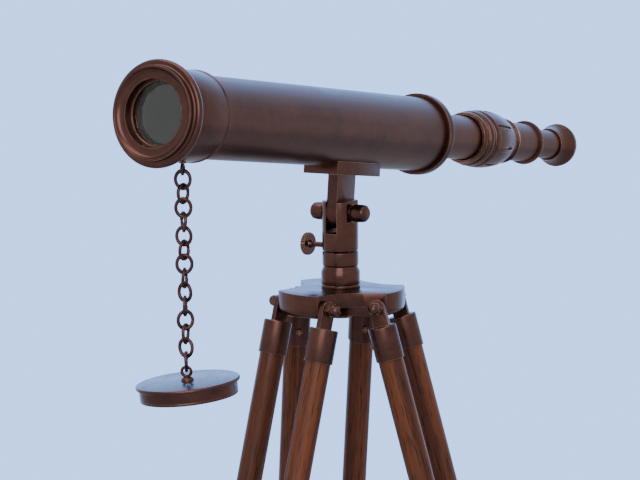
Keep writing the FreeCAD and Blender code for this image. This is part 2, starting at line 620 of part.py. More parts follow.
# ---- telescope --------------------------------------------------------------------------------------
def saddle():
    half = TONGUE_THICKNESS / 2
    tongue = block((-TONGUE_HALF_LENGTH, -half, 0), (TONGUE_HALF_LENGTH, half, SADDLE_UNDERSIDE + 1))
    tongue = tongue.fuse(rod(TONGUE_HALF_LENGTH, (0, -half, 0), (0, half, 0)))
    plate_top = AXIS_HEIGHT - math.sqrt(BARREL_RADIUS ** 2 - SADDLE_HALF_WIDTH ** 2)
    plate = block((-SADDLE_HALF_LENGTH, -SADDLE_HALF_WIDTH, SADDLE_UNDERSIDE),
                  (SADDLE_HALF_LENGTH, SADDLE_HALF_WIDTH, plate_top))
    reach = SADDLE_HALF_LENGTH + 1
    cuts = [rod(BARREL_RADIUS, (-reach, 0, AXIS_HEIGHT), (reach, 0, AXIS_HEIGHT)),
            rod(TILT_BORE, (0, -half - 1, 0), (0, half + 1, 0))]
    for side in (1, -1):
        cuts.append(moved(saddle_screw_blank(), (side * SADDLE_SCREW_PLACE, 0, 0)))
    return on_scope(tongue.fuse(plate).removeSplitter().cut(cuts), turned=False)


def saddle_screw_blank():
    """Countersunk screw up through the saddle into the barrel's wall."""
    sink = SADDLE_SCREW_HEAD - SADDLE_SCREW_RADIUS
    top = AXIS_HEIGHT - BARREL_BORE
    return turned_z([(0, SADDLE_UNDERSIDE), (SADDLE_SCREW_HEAD, SADDLE_UNDERSIDE),
                     (SADDLE_SCREW_RADIUS, SADDLE_UNDERSIDE + sink), (SADDLE_SCREW_RADIUS, top), (0, top)])


def saddle_screws():
    slot = block((-SADDLE_SCREW_HEAD, -SCREW_SLOT / 2, SADDLE_UNDERSIDE - 1),
                 (SADDLE_SCREW_HEAD, SCREW_SLOT / 2, SADDLE_UNDERSIDE + SCREW_SLOT))
    screw = saddle_screw_blank().cut(slot)
    return [on_scope(moved(screw, (side * SADDLE_SCREW_PLACE, 0, 0)), turned=False) for side in (1, -1)]


def barrel_tube():
    tube = turned_x([(BARREL_REAR, BARREL_BORE), (BARREL_REAR, BARREL_RADIUS),
                     (BARREL_FRONT, BARREL_RADIUS), (BARREL_FRONT, BARREL_BORE)])
    holes = [rod(SADDLE_SCREW_RADIUS, (side * SADDLE_SCREW_PLACE, 0, -BARREL_RADIUS - 1),
                 (side * SADDLE_SCREW_PLACE, 0, 0)) for side in (1, -1)]
    return on_scope(tube.cut(holes))


def objective_collar():
    bead_front = COLLAR_REAR + COLLAR_BEAD_LENGTH
    bead_radius = COLLAR_RADIUS + COLLAR_BEAD
    sleeve = turned_x([(COLLAR_REAR, BARREL_RADIUS), (COLLAR_REAR, COLLAR_RADIUS),
                       ((COLLAR_REAR + bead_front) / 2, bead_radius, bead_front, COLLAR_RADIUS),
                       (COLLAR_FRONT, COLLAR_RADIUS), (COLLAR_FRONT, BARREL_RADIUS)])
    return on_scope(sleeve)


def bezel_cove():
    """Middle and end of the hollow curve between the lip and the raised aperture edge."""
    middle = (SPIGOT_RADIUS - LIP_THICKNESS + APERTURE_RADIUS + APERTURE_EDGE) / 2
    depth = (APERTURE_FRONT + SPIGOT_BACK) / 2
    return (depth, middle, APERTURE_FRONT, APERTURE_RADIUS + APERTURE_EDGE)


def objective_bezel():
    ledge_front = CELL_REAR + CELL_LEDGE
    outline = [(CELL_REAR, CELL_LEDGE_RADIUS), (CELL_REAR, BARREL_BORE), (BARREL_FRONT, BARREL_BORE),
               (BARREL_FRONT, BEZEL_BACK_RADIUS),
               (BARREL_FRONT + 2.4, BEZEL_RADIUS - 0.7, BEZEL_WIDEST, BEZEL_RADIUS),
               (BEZEL_WIDEST + 2.1, BEZEL_RADIUS - 1.2, SPIGOT_BACK, SPIGOT_RADIUS + 1.6),
               (SPIGOT_BACK + 0.4, SPIGOT_RADIUS + 0.5, SPIGOT_BACK + 1.6, SPIGOT_RADIUS),
               (LIP_FRONT - 0.6, SPIGOT_RADIUS), (LIP_FRONT, SPIGOT_RADIUS - 0.6),
               (LIP_FRONT, SPIGOT_RADIUS - LIP_THICKNESS), bezel_cove(),
               (APERTURE_FRONT, APERTURE_RADIUS), (ledge_front, APERTURE_RADIUS),
               (ledge_front, CELL_LEDGE_RADIUS)]
    return on_scope(turned_x(outline))


def objective_lens():
    seat = CELL_REAR + CELL_LEDGE
    return on_scope(lens(APERTURE_RADIUS - LENS_SEAT_GAP, LENS_EDGE, LENS_BULGE, 0, seat + LENS_EDGE))


def lens_retainer():
    crown = LENS_BULGE * (1 - (RETAINER_RADIUS / APERTURE_RADIUS) ** 2)
    start = CELL_REAR + CELL_LEDGE + LENS_EDGE + crown + LENS_SEAT_GAP
    end = start + RETAINER_LENGTH
    return on_scope(turned_x([(start, RETAINER_RADIUS), (start, APERTURE_RADIUS), (end, APERTURE_RADIUS),
                              (end, RETAINER_RADIUS + 0.6), (end - 0.6, RETAINER_RADIUS)]))


def rear_ring():
    bore = DRAW_1_RADIUS + RUNNING
    line = REAR_RING_LINE
    band = REAR_RING_FRONT - 2.4
    sleeve_end = BARREL_REAR + REAR_RING_BUSH
    outline = [(REAR_RING_NOSE, bore), (REAR_RING_NOSE, REAR_RING_NOSE_RADIUS),
               (REAR_RING_FULL - 5.4, REAR_RING_RADIUS - 4.2, REAR_RING_FULL, REAR_RING_RADIUS),
               (band - line, REAR_RING_RADIUS), (band, REAR_RING_RADIUS - line),
               (band + line, REAR_RING_RADIUS), (REAR_RING_FRONT - line, REAR_RING_RADIUS),
               (REAR_RING_FRONT, REAR_RING_RADIUS - line), (REAR_RING_FRONT, BARREL_RADIUS),
               (BARREL_REAR, BARREL_RADIUS), (BARREL_REAR, bore + SLEEVE_WALL), (sleeve_end, bore + SLEEVE_WALL),
               (sleeve_end, bore)]
    return on_scope(turned_x(outline))


def loose_ring(axis_turn):
    """Wire eye in its own upright plane: the hole's line is level, at an angle from +X."""
    return Part.makeTorus(EYE_RING_RADIUS, EYE_WIRE, Vector(0, 0, 0), heading(axis_turn))


def chain_eye():
    """Staple under the collar that the chain's first link hangs in."""
    centre = eye_centre()
    ring = moved(loose_ring(CHAIN_TURN), centre)
    top = scope_point(CHAIN_STATION, AXIS_HEIGHT - COLLAR_RADIUS)
    into = top - scope_point(CHAIN_STATION, AXIS_HEIGHT)
    into.normalize()
    shank = Part.makeCylinder(EYE_SHANK, 2.4, top - into * 1.2, into)
    flange = Part.makeCylinder(2.9, 0.8, top, into)
    collar_skin = on_scope(rod(COLLAR_RADIUS, (COLLAR_REAR, 0, 0), (COLLAR_FRONT, 0, 0)))
    return ring.fuse([shank, flange]).cut(collar_skin)


def eye_centre():
    """Middle of the eye under the collar."""
    top = scope_point(CHAIN_STATION, AXIS_HEIGHT - COLLAR_RADIUS)
    return top - UP * (EYE_RING_RADIUS + EYE_WIRE + 0.5)


# ---- draw tubes -------------------------------------------------------------------------------------
def draw_tube(front, rear, radius):
    inside = radius - DRAW_WALL
    return on_scope(turned_x([(rear, inside), (rear, radius), (front, radius), (front, inside)]))


def draw_bush(front, radius, bore):
    """Ring on a draw's front end that fills the tube outside it."""
    rear = front - BUSH_LENGTH
    fit = bore - RUNNING
    return on_scope(turned_x([(rear, radius), (rear, fit - 0.3), (rear + 0.6, fit), (front - 0.6, fit),
                              (front, fit - 0.3), (front, radius)]))


def grip_collar():
    groove = GRIP_GROOVE
    wide = GRIP_GROOVE_WIDTH
    tail = GRIP_BODY_REAR - 4.5
    outline = [(GRIP_FRONT, DRAW_1_RADIUS), (GRIP_FRONT, GRIP_FLANGE_RADIUS),
               (GRIP_FLANGE_REAR, GRIP_FLANGE_RADIUS + 0.4),
               (GRIP_FLANGE_REAR, GRIP_FLANGE_RADIUS - groove),
               (GRIP_FLANGE_REAR - wide, GRIP_FLANGE_RADIUS - groove),
               (GRIP_FLANGE_REAR - wide, GRIP_RING_RADIUS), (GRIP_RING_REAR, GRIP_RING_RADIUS + 0.4),
               (GRIP_RING_REAR, GRIP_RING_RADIUS - groove),
               (GRIP_RING_REAR - wide, GRIP_RING_RADIUS - groove),
               (GRIP_RING_REAR - wide, GRIP_BODY_RADIUS - 0.4),
               ((GRIP_RING_REAR + GRIP_BODY_REAR) / 2 + 2, GRIP_BODY_RADIUS,
                GRIP_BODY_REAR, GRIP_BODY_REAR_RADIUS),
               (GRIP_BODY_REAR, GRIP_TAIL_RADIUS + 0.6),
               (GRIP_BODY_REAR - wide, GRIP_TAIL_RADIUS + 0.6),
               (GRIP_BODY_REAR - wide, GRIP_TAIL_RADIUS + 1.2), (tail, GRIP_TAIL_RADIUS + 0.8),
               (tail, GRIP_TAIL_RADIUS), (GRIP_REAR, GRIP_TAIL_RADIUS - 0.4),
               (GRIP_REAR, DRAW_2_RADIUS + RUNNING), (grip_step(), DRAW_2_RADIUS + RUNNING),
               (grip_step(), DRAW_1_RADIUS)]
    body = turned_x(outline)
    half = GRIP_SLOT_WIDTH / 2
    slot = block((GRIP_SLOT_REAR, -half, GRIP_BODY_REAR_RADIUS), (GRIP_SLOT_FRONT, half, GRIP_BODY_RADIUS + 1))
    slot = slot.cut(rod(GRIP_BODY_RADIUS - GRIP_SLOT_DEPTH, (GRIP_SLOT_REAR - 1, 0, 0),
                        (GRIP_SLOT_FRONT + 1, 0, 0)))
    slots = [rotated(slot, (0, 0, 0), (1, 0, 0), GRIP_SLOT_TURN + 360.0 * i / GRIP_SLOTS)
             for i in range(GRIP_SLOTS)]
    return on_scope(body.cut(slots))


def grip_step():
    """Station inside the grip where the first draw's tube ends."""
    return GRIP_RING_REAR - GRIP_STEP_LENGTH


def draw_2_end_ring():
    sleeve = END_RING_FRONT + END_RING_SLEEVE
    bore = DRAW_3_RADIUS + RUNNING
    inside = DRAW_2_RADIUS - DRAW_WALL
    outline = [(END_RING_REAR, bore), (END_RING_REAR, END_RING_RADIUS - 1.2),
               (END_RING_REAR + 1.4, END_RING_RADIUS - 0.2, END_RING_FRONT, END_RING_RADIUS),
               (END_RING_FRONT, inside), (sleeve, inside), (sleeve, bore)]
    return on_scope(turned_x(outline))


def eyepiece_cup():
    seat = eye_lens_front()
    lens_rear = seat - EYE_LENS_THICKNESS
    floor = EYEPIECE_REAR + EYE_DISH_DEPTH
    outline = [(EYEPIECE_FRONT, DRAW_3_RADIUS), (EYEPIECE_FRONT, EYEPIECE_RING_RADIUS - 0.4),
               (EYEPIECE_FRONT - 0.6, EYEPIECE_RING_RADIUS), (EYEPIECE_RING_REAR, EYEPIECE_RING_RADIUS),
               (EYEPIECE_RING_REAR - 5.6, EYEPIECE_RING_RADIUS + 1.2,
                EYEPIECE_WIDEST + 1.4, EYEPIECE_CUP_RADIUS - 0.5),
               (EYEPIECE_WIDEST, EYEPIECE_CUP_RADIUS + 0.1, EYEPIECE_WIDEST - 2.0, EYEPIECE_CUP_RADIUS - 0.6),
               (EYEPIECE_REAR + 1.2, EYEPIECE_RIM_RADIUS + 1.1, EYEPIECE_REAR, EYEPIECE_RIM_RADIUS - 1.0),
               (EYEPIECE_REAR + 1.4, EYE_DISH_RADIUS - 1.0, floor, EYE_HOLE_RADIUS),
               (lens_rear, EYE_HOLE_RADIUS), (lens_rear, EYE_LENS_RADIUS),
               (EYEPIECE_RING_REAR, EYE_LENS_RADIUS), (EYEPIECE_RING_REAR, DRAW_3_RADIUS)]
    return on_scope(turned_x(outline))


def eye_lens_front():
    return EYEPIECE_RING_REAR - EYE_LENS_BACK


def eye_lens():
    return on_scope(lens(EYE_LENS_RADIUS, EYE_LENS_THICKNESS - 1.4, 1.4, 0, eye_lens_front() - 1.4))


def erector_lens():
    inside = DRAW_3_RADIUS - DRAW_WALL
    edge = ERECTOR_THICKNESS - 2.4
    return on_scope(lens(inside, edge, 1.2, 1.2, ERECTOR_PLACE))


# ---- chain and lens cap -----------------------------------------------------------------------------
def chain_link():
    """Oval link in the XZ plane round the origin, its long side upright."""
    middle_radius = LINK_WIDTH / 2 - LINK_WIRE
    straight = LINK_LENGTH - LINK_WIDTH
    parts = []
    for side in (1, -1):
        bend = Part.makeTorus(middle_radius, LINK_WIRE, Vector(0, 0, side * straight / 2), Vector(0, 1, 0))
        reach = LINK_LENGTH
        keep = block((-reach, -reach, 0), (reach, reach, reach))
        keep = moved(keep, (0, 0, straight / 2))
        if side < 0:
            keep = rotated(keep, (0, 0, 0), (1, 0, 0), 180)
        parts.append(bend.common(keep))
        parts.append(rod(LINK_WIRE, (side * middle_radius, 0, -straight / 2),
                         (side * middle_radius, 0, straight / 2)))
    return parts[0].fuse(parts[1:]).removeSplitter()


def link_centre(number):
    """Middle of a link, counted from 0 at the top."""
    inner_top = LINK_LENGTH / 2 - LINK_WIRE
    first = eye_centre() - UP * (EYE_RING_RADIUS - EYE_WIRE - LINK_WIRE - LINK_GAP + inner_top)
    return first - UP * (LINK_PITCH * number)


def chain_half(first):
    links = []
    for number in range(first, first + LINKS_EACH_HALF):
        turn = CHAIN_TURN + 90.0 * (number % 2)
        links.append(moved(rotated(chain_link(), (0, 0, 0), UP, turn), link_centre(number)))
    return links


def chain_joint():
    """Where the lower half of the chain hangs in the upper half."""
    return (link_centre(LINKS_EACH_HALF - 1) + link_centre(LINKS_EACH_HALF)) * 0.5


def cap_pivot():
    """Wire at the bottom of the last link, which the cap's eye hangs on."""
    last = link_centre(2 * LINKS_EACH_HALF - 1)
    return last - UP * (LINK_LENGTH / 2 - LINK_WIRE)


def hang_cap(shape):
    """From the cap's own frame (its eye's middle at the origin) to its place, with the cap's lean."""
    drop = EYE_RING_RADIUS - EYE_WIRE - LINK_WIRE - LINK_GAP
    leaned = rotated(shape, (0, 0, 0), heading(CAP_LEAN_TURN), CAP_LEAN)
    return moved(leaned, cap_pivot() - UP * drop)


def cap_eye_turn():
    return CHAIN_TURN + 90.0 * ((2 * LINKS_EACH_HALF - 1) % 2)


def cap_top():
    """Height of the disc's top in the cap's own frame."""
    return -(EYE_RING_RADIUS + EYE_WIRE * 0.4 + KNOB_HEIGHT)


def lens_cap():
    top = cap_top()
    under = top - CAP_DISC
    rim = under - CAP_SKIRT
    edge = CAP_DISC / 2
    return hang_cap(turned_z([
        (0, top), (CAP_RADIUS - edge, top), (CAP_RADIUS, top - edge, CAP_RADIUS - edge, under),
        (CAP_SKIRT_RADIUS, under), (CAP_SKIRT_RADIUS, rim + 0.5), (CAP_SKIRT_RADIUS - 0.5, rim),
        (CAP_BORE, rim), (CAP_BORE, under), (0, under)]))


def cap_knob():
    top = cap_top()
    crown = top + KNOB_HEIGHT
    knob = turned_z([(0, top), (KNOB_RADIUS, top),
                     (KNOB_RADIUS * 0.86, top + KNOB_HEIGHT * 0.7, EYE_SHANK, crown), (0, crown)])
    return hang_cap(knob.fuse(loose_ring(cap_eye_turn())))


# ---- legs -------------------------------------------------------------------------------------------
def hinge_ferrule(side):
    """Cup for the dowel's top with the tab that hangs on the head's stud."""
    y = side * DOWEL_HALF_SPACING
    cup = turned_z([(0, -FERRULE_TOP), (FERRULE_RADIUS - 0.6, -FERRULE_TOP),
                    (FERRULE_RADIUS, -FERRULE_TOP - 0.6), (FERRULE_RADIUS, -FERRULE_BOTTOM),
                    (DOWEL_RADIUS, -FERRULE_BOTTOM), (DOWEL_RADIUS, -DOWEL_TOP), (0, -DOWEL_TOP)])
    near = min(side * TAB_INSIDE, side * (TAB_INSIDE + TAB_THICKNESS))
    far = near + TAB_THICKNESS
    half = TAB_WIDTH / 2
    tab = block((-half, near, -FERRULE_TOP - 1), (half, far, 0))
    tab = tab.fuse(rod(half, (0, near, 0), (0, far, 0)))
    bore = rod(STUD_RADIUS + RUNNING, (0, near - 1, 0), (0, far + 1, 0))
    screw_hole = rod(SCREW_RADIUS, (0, y, -FERRULE_TOP - FERRULE_SCREW_DEPTH),
                     (-FERRULE_RADIUS - 1, y, -FERRULE_TOP - FERRULE_SCREW_DEPTH))
    cup = moved(cup, (0, y, 0)).cut(screw_hole)
    return cup.fuse(tab).removeSplitter().cut(bore)


def ferrule_screw(side):
    screw = rotated(pan_screw(), (0, 0, 0), (0, 1, 0), -90)
    return moved(screw, (-FERRULE_RADIUS, side * DOWEL_HALF_SPACING, -FERRULE_TOP - FERRULE_SCREW_DEPTH))


def outer_dowel(side):
    y = side * DOWEL_HALF_SPACING
    depth = FERRULE_TOP + FERRULE_SCREW_DEPTH
    hole = rod(SCREW_RADIUS, (SCREW_LENGTH - FERRULE_RADIUS, y, -depth), (-FERRULE_RADIUS, y, -depth))
    return rod(DOWEL_RADIUS, (0, y, -DOWEL_BOTTOM), (0, y, -DOWEL_TOP)).cut(hole)


def lower_bracket():
    """Casting with a socket for each outer dowel and a bore that the middle dowel slides in."""
    outside = DOWEL_RADIUS + BRACKET_WALL
    top = -BRACKET_TOP
    bottom = top - BRACKET_HEIGHT
    towers = [rod(outside, (0, y, bottom), (0, y, top))
              for y in (-DOWEL_HALF_SPACING, 0, DOWEL_HALF_SPACING)]
    web = block((-BRACKET_WEB / 2, -DOWEL_HALF_SPACING, bottom + 3), (BRACKET_WEB / 2, DOWEL_HALF_SPACING, top - 3))
    cuts = [rod(DOWEL_RADIUS + GUIDE_GAP, (0, 0, bottom - 1), (0, 0, top + 1)),
            rod(LEG_STEM_RADIUS + RUNNING, (0, 0, lock_height()), (2 * outside, 0, lock_height()))]
    for side in (1, -1):
        y = side * DOWEL_HALF_SPACING
        cuts.append(rod(DOWEL_RADIUS, (0, y, -DOWEL_BOTTOM), (0, y, top + 1)))
    return towers[0].fuse(towers[1:] + [web]).removeSplitter().cut(cuts)


def lock_height():
    return -BRACKET_TOP - BRACKET_HEIGHT / 2


def leg_lock():
    start = DOWEL_RADIUS + GUIDE_GAP
    head = DOWEL_RADIUS + BRACKET_WALL + LEG_STEM_SHOWN
    screw = thumbscrew(LEG_STEM_RADIUS, start, head, LEG_HEAD_RADIUS, LEG_HEAD_THICKNESS)
    return moved(screw, (0, 0, lock_height()))


def slide_dowel():
    return rod(DOWEL_RADIUS, (0, 0, -SLIDE_BOTTOM), (0, 0, -SLIDE_TOP))


def guide_bracket():
    """Yoke on the middle dowel's top that runs up and down the outer dowels."""
    outside = DOWEL_RADIUS + GUIDE_GAP + GUIDE_WALL
    top = -SLIDE_TOP + 2
    bottom = top - GUIDE_HEIGHT
    towers = [rod(outside, (0, y, bottom), (0, y, top))
              for y in (-DOWEL_HALF_SPACING, 0, DOWEL_HALF_SPACING)]
    web = block((-GUIDE_WEB / 2, -DOWEL_HALF_SPACING, bottom + 2), (GUIDE_WEB / 2, DOWEL_HALF_SPACING, top - 2))
    cuts = [rod(DOWEL_RADIUS, (0, 0, bottom - 1), (0, 0, -SLIDE_TOP))]
    for side in (1, -1):
        y = side * DOWEL_HALF_SPACING
        cuts.append(rod(DOWEL_RADIUS + GUIDE_GAP, (0, y, bottom - 1), (0, y, top + 1)))
    return towers[0].fuse(towers[1:] + [web]).removeSplitter().cut(cuts)


def foot():
    """Pointed metal shoe; its tip is cut level with the floor at the rest splay."""
    outside = DOWEL_RADIUS + FOOT_WALL
    top = -SLIDE_BOTTOM + FOOT_SOCKET
    tip = -LEG_LENGTH - FOOT_TIP_RADIUS
    shoe = turned_z([(DOWEL_RADIUS, top), (outside - 0.5, top), (outside, top - 0.5),
                     (outside, -SLIDE_BOTTOM - 2), (outside - 0.8, -SLIDE_BOTTOM - 3.2),
                     (FOOT_TIP_RADIUS, tip), (0, tip), (0, -SLIDE_BOTTOM), (DOWEL_RADIUS, -SLIDE_BOTTOM)])
    return shoe


def floor_block():
    reach = LEG_LENGTH
    return block((-reach, -reach, -100), (reach, reach, 0))


# ---- assembly ---------------------------------------------------------------------------------------
def head_nodes():
    washer_start = LOBE_HALF_WIDTH
    return {
        "head_plate": [head_plate()],
        "column_base": [column_base()],
        "pan_spindle": [pan_spindle()],
        "leg_studs": leg_studs(),
        "leg_washers": leg_fastening(leg_washer, stud_reach() - WASHER_THICKNESS)
        + leg_fastening(leg_washer, washer_start),
        "leg_dome_nuts": leg_fastening(dome_nut, stud_reach()),
        "clevis": [clevis()],
        "pan_lock_screw": [pan_lock()],
        "tilt_stud": [tilt_stud()],
        "tilt_washers": tilt_pair(tilt_washer, EAR_FLAT),
        "tilt_knobs": tilt_pair(tilt_knob, EAR_FLAT + WASHER_THICKNESS),
    }


def scope_nodes():
    return {
        "saddle": [saddle()],
        "saddle_screws": saddle_screws(),
        "barrel_tube": [barrel_tube()],
        "objective_collar": [objective_collar()],
        "objective_bezel": [objective_bezel()],
        "objective_lens": [objective_lens()],
        "lens_retainer": [lens_retainer()],
        "rear_ring": [rear_ring()],
        "chain_eye": [chain_eye()],
        "draw_1_tube": [draw_tube(DRAW_1_FRONT, grip_step(), DRAW_1_RADIUS)],
        "draw_1_bush": [draw_bush(DRAW_1_FRONT, DRAW_1_RADIUS, BARREL_BORE)],
        "grip_collar": [grip_collar()],
        "draw_2_tube": [draw_tube(DRAW_2_FRONT, END_RING_FRONT, DRAW_2_RADIUS)],
        "draw_2_bush": [draw_bush(DRAW_2_FRONT, DRAW_2_RADIUS, DRAW_1_RADIUS - DRAW_WALL)],
        "draw_2_end_ring": [draw_2_end_ring()],
        "draw_3_tube": [draw_tube(DRAW_3_FRONT, EYEPIECE_RING_REAR, DRAW_3_RADIUS)],
        "draw_3_bush": [draw_bush(DRAW_3_FRONT, DRAW_3_RADIUS, DRAW_2_RADIUS - DRAW_WALL)],
        "erector_lens": [erector_lens()],
        "eyepiece_cup": [eyepiece_cup()],
        "eye_lens": [eye_lens()],
    }


def chain_nodes():
    return {
        "chain_upper_links": chain_half(0),
        "chain_lower_links": chain_half(LINKS_EACH_HALF),
        "lens_cap": [lens_cap()],
        "cap_knob": [cap_knob()],
    }


def leg_nodes(index):
    name = LEG_NAMES[index]
    shapes = {
        "hinge_ferrules": [hinge_ferrule(side) for side in (1, -1)],
        "ferrule_screws": [ferrule_screw(side) for side in (1, -1)],
        "outer_dowels": [outer_dowel(side) for side in (1, -1)],
        "lower_bracket": [lower_bracket()],
        "lock_screw": [leg_lock()],
        "slide_dowel": [slide_dowel()],
        "guide_bracket": [guide_bracket()],
        "foot": [foot()],
    }
    placed = {}
    for part, solids in shapes.items():
        placed[name + "_" + part] = [on_leg(solid, index) for solid in solids]
    shoe = name + "_foot"
    placed[shoe] = [placed[shoe][0].cut(floor_block())]
    return placed


def all_nodes():
    nodes = {}
    nodes.update(head_nodes())
    nodes.update(scope_nodes())
    nodes.update(chain_nodes())
    for index in range(3):
        nodes.update(leg_nodes(index))
    return nodes


def centring_shift(nodes):
    """Move that puts the middle of the whole box over the origin, in plan."""
    box = None
    for solids in nodes.values():
        for solid in solids:
            solid_box = solid.optimalBoundingBox(False, True)
            if box is None:
                box = solid_box
            else:
                box.add(solid_box)
    return Vector(-(box.XMin + box.XMax) / 2, -(box.YMin + box.YMax) / 2, 0)


NODES = all_nodes()
SHIFT = centring_shift(NODES)

if __name__ == "__main__":
    os.makedirs("parts", exist_ok=True)
    for node, solids in NODES.items():
        placed = [moved(solid, SHIFT) for solid in solids]
        shape = placed[0] if len(placed) == 1 else Part.makeCompound(placed)
        shape.exportStep("parts/" + node + ".step")
    print(len(NODES), "nodes, moved by", SHIFT)
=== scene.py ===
# %% [markdown]
# # An antique copper telescope on its tripod
# The imported model gives every part its place and its motion. This lesson gives the parts their looks:
# turned rings with soft edges, antique copper with a painted highlight on its edges, lacquered wood and dark
# glass.

# %% Load the frame
import json
import math
import bpy
from mathutils import Matrix, Vector

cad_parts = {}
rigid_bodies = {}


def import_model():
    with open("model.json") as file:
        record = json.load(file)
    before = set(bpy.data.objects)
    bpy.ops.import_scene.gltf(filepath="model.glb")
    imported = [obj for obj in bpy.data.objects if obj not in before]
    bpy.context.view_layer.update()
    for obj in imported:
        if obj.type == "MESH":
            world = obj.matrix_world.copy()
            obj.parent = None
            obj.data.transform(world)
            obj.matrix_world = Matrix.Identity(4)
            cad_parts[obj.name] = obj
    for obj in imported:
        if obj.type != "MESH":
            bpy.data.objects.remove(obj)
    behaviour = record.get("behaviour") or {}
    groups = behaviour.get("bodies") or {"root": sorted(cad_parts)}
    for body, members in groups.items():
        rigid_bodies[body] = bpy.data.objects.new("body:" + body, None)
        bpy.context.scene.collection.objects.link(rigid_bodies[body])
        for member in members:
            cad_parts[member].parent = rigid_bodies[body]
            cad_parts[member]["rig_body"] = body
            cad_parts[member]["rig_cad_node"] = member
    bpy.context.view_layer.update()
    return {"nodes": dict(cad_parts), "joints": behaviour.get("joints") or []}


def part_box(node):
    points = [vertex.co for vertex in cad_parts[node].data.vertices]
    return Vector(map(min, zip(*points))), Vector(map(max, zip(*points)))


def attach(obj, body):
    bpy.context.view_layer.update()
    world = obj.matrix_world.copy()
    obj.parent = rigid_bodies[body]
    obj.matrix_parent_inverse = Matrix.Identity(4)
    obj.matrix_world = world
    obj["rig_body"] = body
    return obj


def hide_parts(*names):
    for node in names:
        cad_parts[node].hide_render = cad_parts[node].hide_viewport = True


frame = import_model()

NODES = frame["nodes"]
JOINTS = {joint["name"]: joint for joint in frame["joints"]}
MM = 0.001
LEGS = ("leg_a", "leg_b", "leg_c")
bpy.ops.object.select_all(action="DESELECT")

# %% [markdown]
# ## Where things are
# Two frames are enough. One is the tripod head: its upright axis and the top of its plate. The other is
# the barrel: the point of its axis above the tilt pivot, and the way that it points. Both are read from
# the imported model, so a changed design moves the pieces with it.

# %% Find the head's axis and the barrel's axis
base_low, base_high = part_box("column_base")
HEAD = Vector(((base_low.x + base_high.x) / 2, (base_low.y + base_high.y) / 2, base_low.z))
AIM = -Vector(JOINTS["draw_1_slide"]["axis"])
PIVOT = Vector(JOINTS["tilt"]["pos_m"])
barrel_low, barrel_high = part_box("barrel_tube")
barrel_middle = (barrel_low + barrel_high) / 2
BARREL = barrel_middle + AIM * (PIVOT - barrel_middle).dot(AIM)
print("head", HEAD, "barrel", BARREL, "aim", AIM)

SCOPE_TURN = Matrix.Rotation(-math.atan2(AIM.z, AIM.x), 4, "Y")
ON_BARREL = Matrix.Translation(BARREL) @ SCOPE_TURN
ON_HEAD = Matrix.Translation(HEAD)

# %% [markdown]
# ## The camera
# The view is a long one from a little above the head, with the objective towards it. A long lens keeps
# the barrel's two ends nearly the same size.

# %% Place the camera
CAMERA_OFFSET = Vector((1.5679, 0.9836, 0.2931))
CAMERA_TURN = [math.radians(angle) for angle in (82.13, 0.634, 122.502)]
bpy.ops.object.camera_add(location=HEAD + CAMERA_OFFSET, rotation=CAMERA_TURN)
camera = bpy.context.object
camera.data.lens = 135
camera.data.sensor_width = 36
camera.data.clip_end = 400
bpy.context.scene.camera = camera
print("camera at", camera.location)

# %% [markdown]
# ## The studio
# The tripod stands on a plain pale floor, and beyond it is only the light of the studio: neutral all
# round, and a clear blue behind the tripod, where polished tops pick it up at a glance. One large lamp
# overhead and one in front make the long soft reflections that show a tube's roundness.

# %% Lay the floor and hang the lamps
FLOOR_RADIUS = 3.4
BEHIND_TRIPOD = (-0.847, -0.531, 0)
bpy.ops.mesh.primitive_circle_add(vertices=192, radius=FLOOR_RADIUS, fill_type="NGON", location=(0, 0, 0))
floor = bpy.context.object
floor.name = "studio_floor"

floor_finish = bpy.data.materials.new("studio_paper")
floor_finish.use_nodes = True
paper = floor_finish.node_tree.nodes["Principled BSDF"]
paper.inputs["Base Color"].default_value = (0.46, 0.47, 0.49, 1)
paper.inputs["Roughness"].default_value = 0.95
paper.inputs["Specular IOR Level"].default_value = 0.1
floor.data.materials.append(floor_finish)

world = bpy.data.worlds.new("studio_air")
world.use_nodes = True
air = world.node_tree
facing = air.nodes.new("ShaderNodeTexCoord")
toward = air.nodes.new("ShaderNodeVectorMath")
toward.operation = "DOT_PRODUCT"
toward.inputs[1].default_value = BEHIND_TRIPOD
glow = air.nodes.new("ShaderNodeMapRange")
glow.interpolation_type = "SMOOTHSTEP"
glow.inputs["From Min"].default_value = 0.55
glow.inputs["From Max"].default_value = 0.95
sky = air.nodes.new("ShaderNodeMix")
sky.data_type = "RGBA"
sky.inputs["A"].default_value = (0.97, 0.95, 0.96, 1)
sky.inputs["B"].default_value = (1.02, 1.72, 3.4, 1)
air.links.new(facing.outputs["Generated"], toward.inputs[0])
air.links.new(toward.outputs["Value"], glow.inputs["Value"])
air.links.new(glow.outputs["Result"], sky.inputs["Factor"])
air.links.new(sky.outputs["Result"], air.nodes["Background"].inputs["Color"])
air.nodes["Background"].inputs["Strength"].default_value = 0.8
bpy.context.scene.world = world


def add_lamp(name, offset, size, power, color):
    """Square soft lamp at an offset from the head, facing it."""
    bpy.ops.object.light_add(type="AREA", location=HEAD + Vector(offset))
    lamp = bpy.context.object
    lamp.name = name
    lamp.data.size = size
    lamp.data.energy = power
    lamp.data.color = color
    lamp.rotation_euler = (-Vector(offset)).to_track_quat("-Z", "Y").to_euler()


add_lamp("lamp_overhead", (0.2, -0.3, 2.4), 2.4, 40, (1, 0.99, 0.97))
add_lamp("lamp_front", (2.6, 1.2, 1.4), 2.0, 40, (0.97, 0.98, 1))
print("floor", 2 * FLOOR_RADIUS, "m across, and two lamps")

# %% [markdown]
# ## Building a finish from nodes
# Every finish is a small tree of nodes on one Principled shader. These short helpers add a node, join
# two sockets and read a place on the piece in metres, turned so that one axis runs along the grain.

# %% Node helpers
def new_finish(name):
    finish = bpy.data.materials.new(name)
    finish.use_nodes = True
    return finish, finish.node_tree, finish.node_tree.nodes["Principled BSDF"]


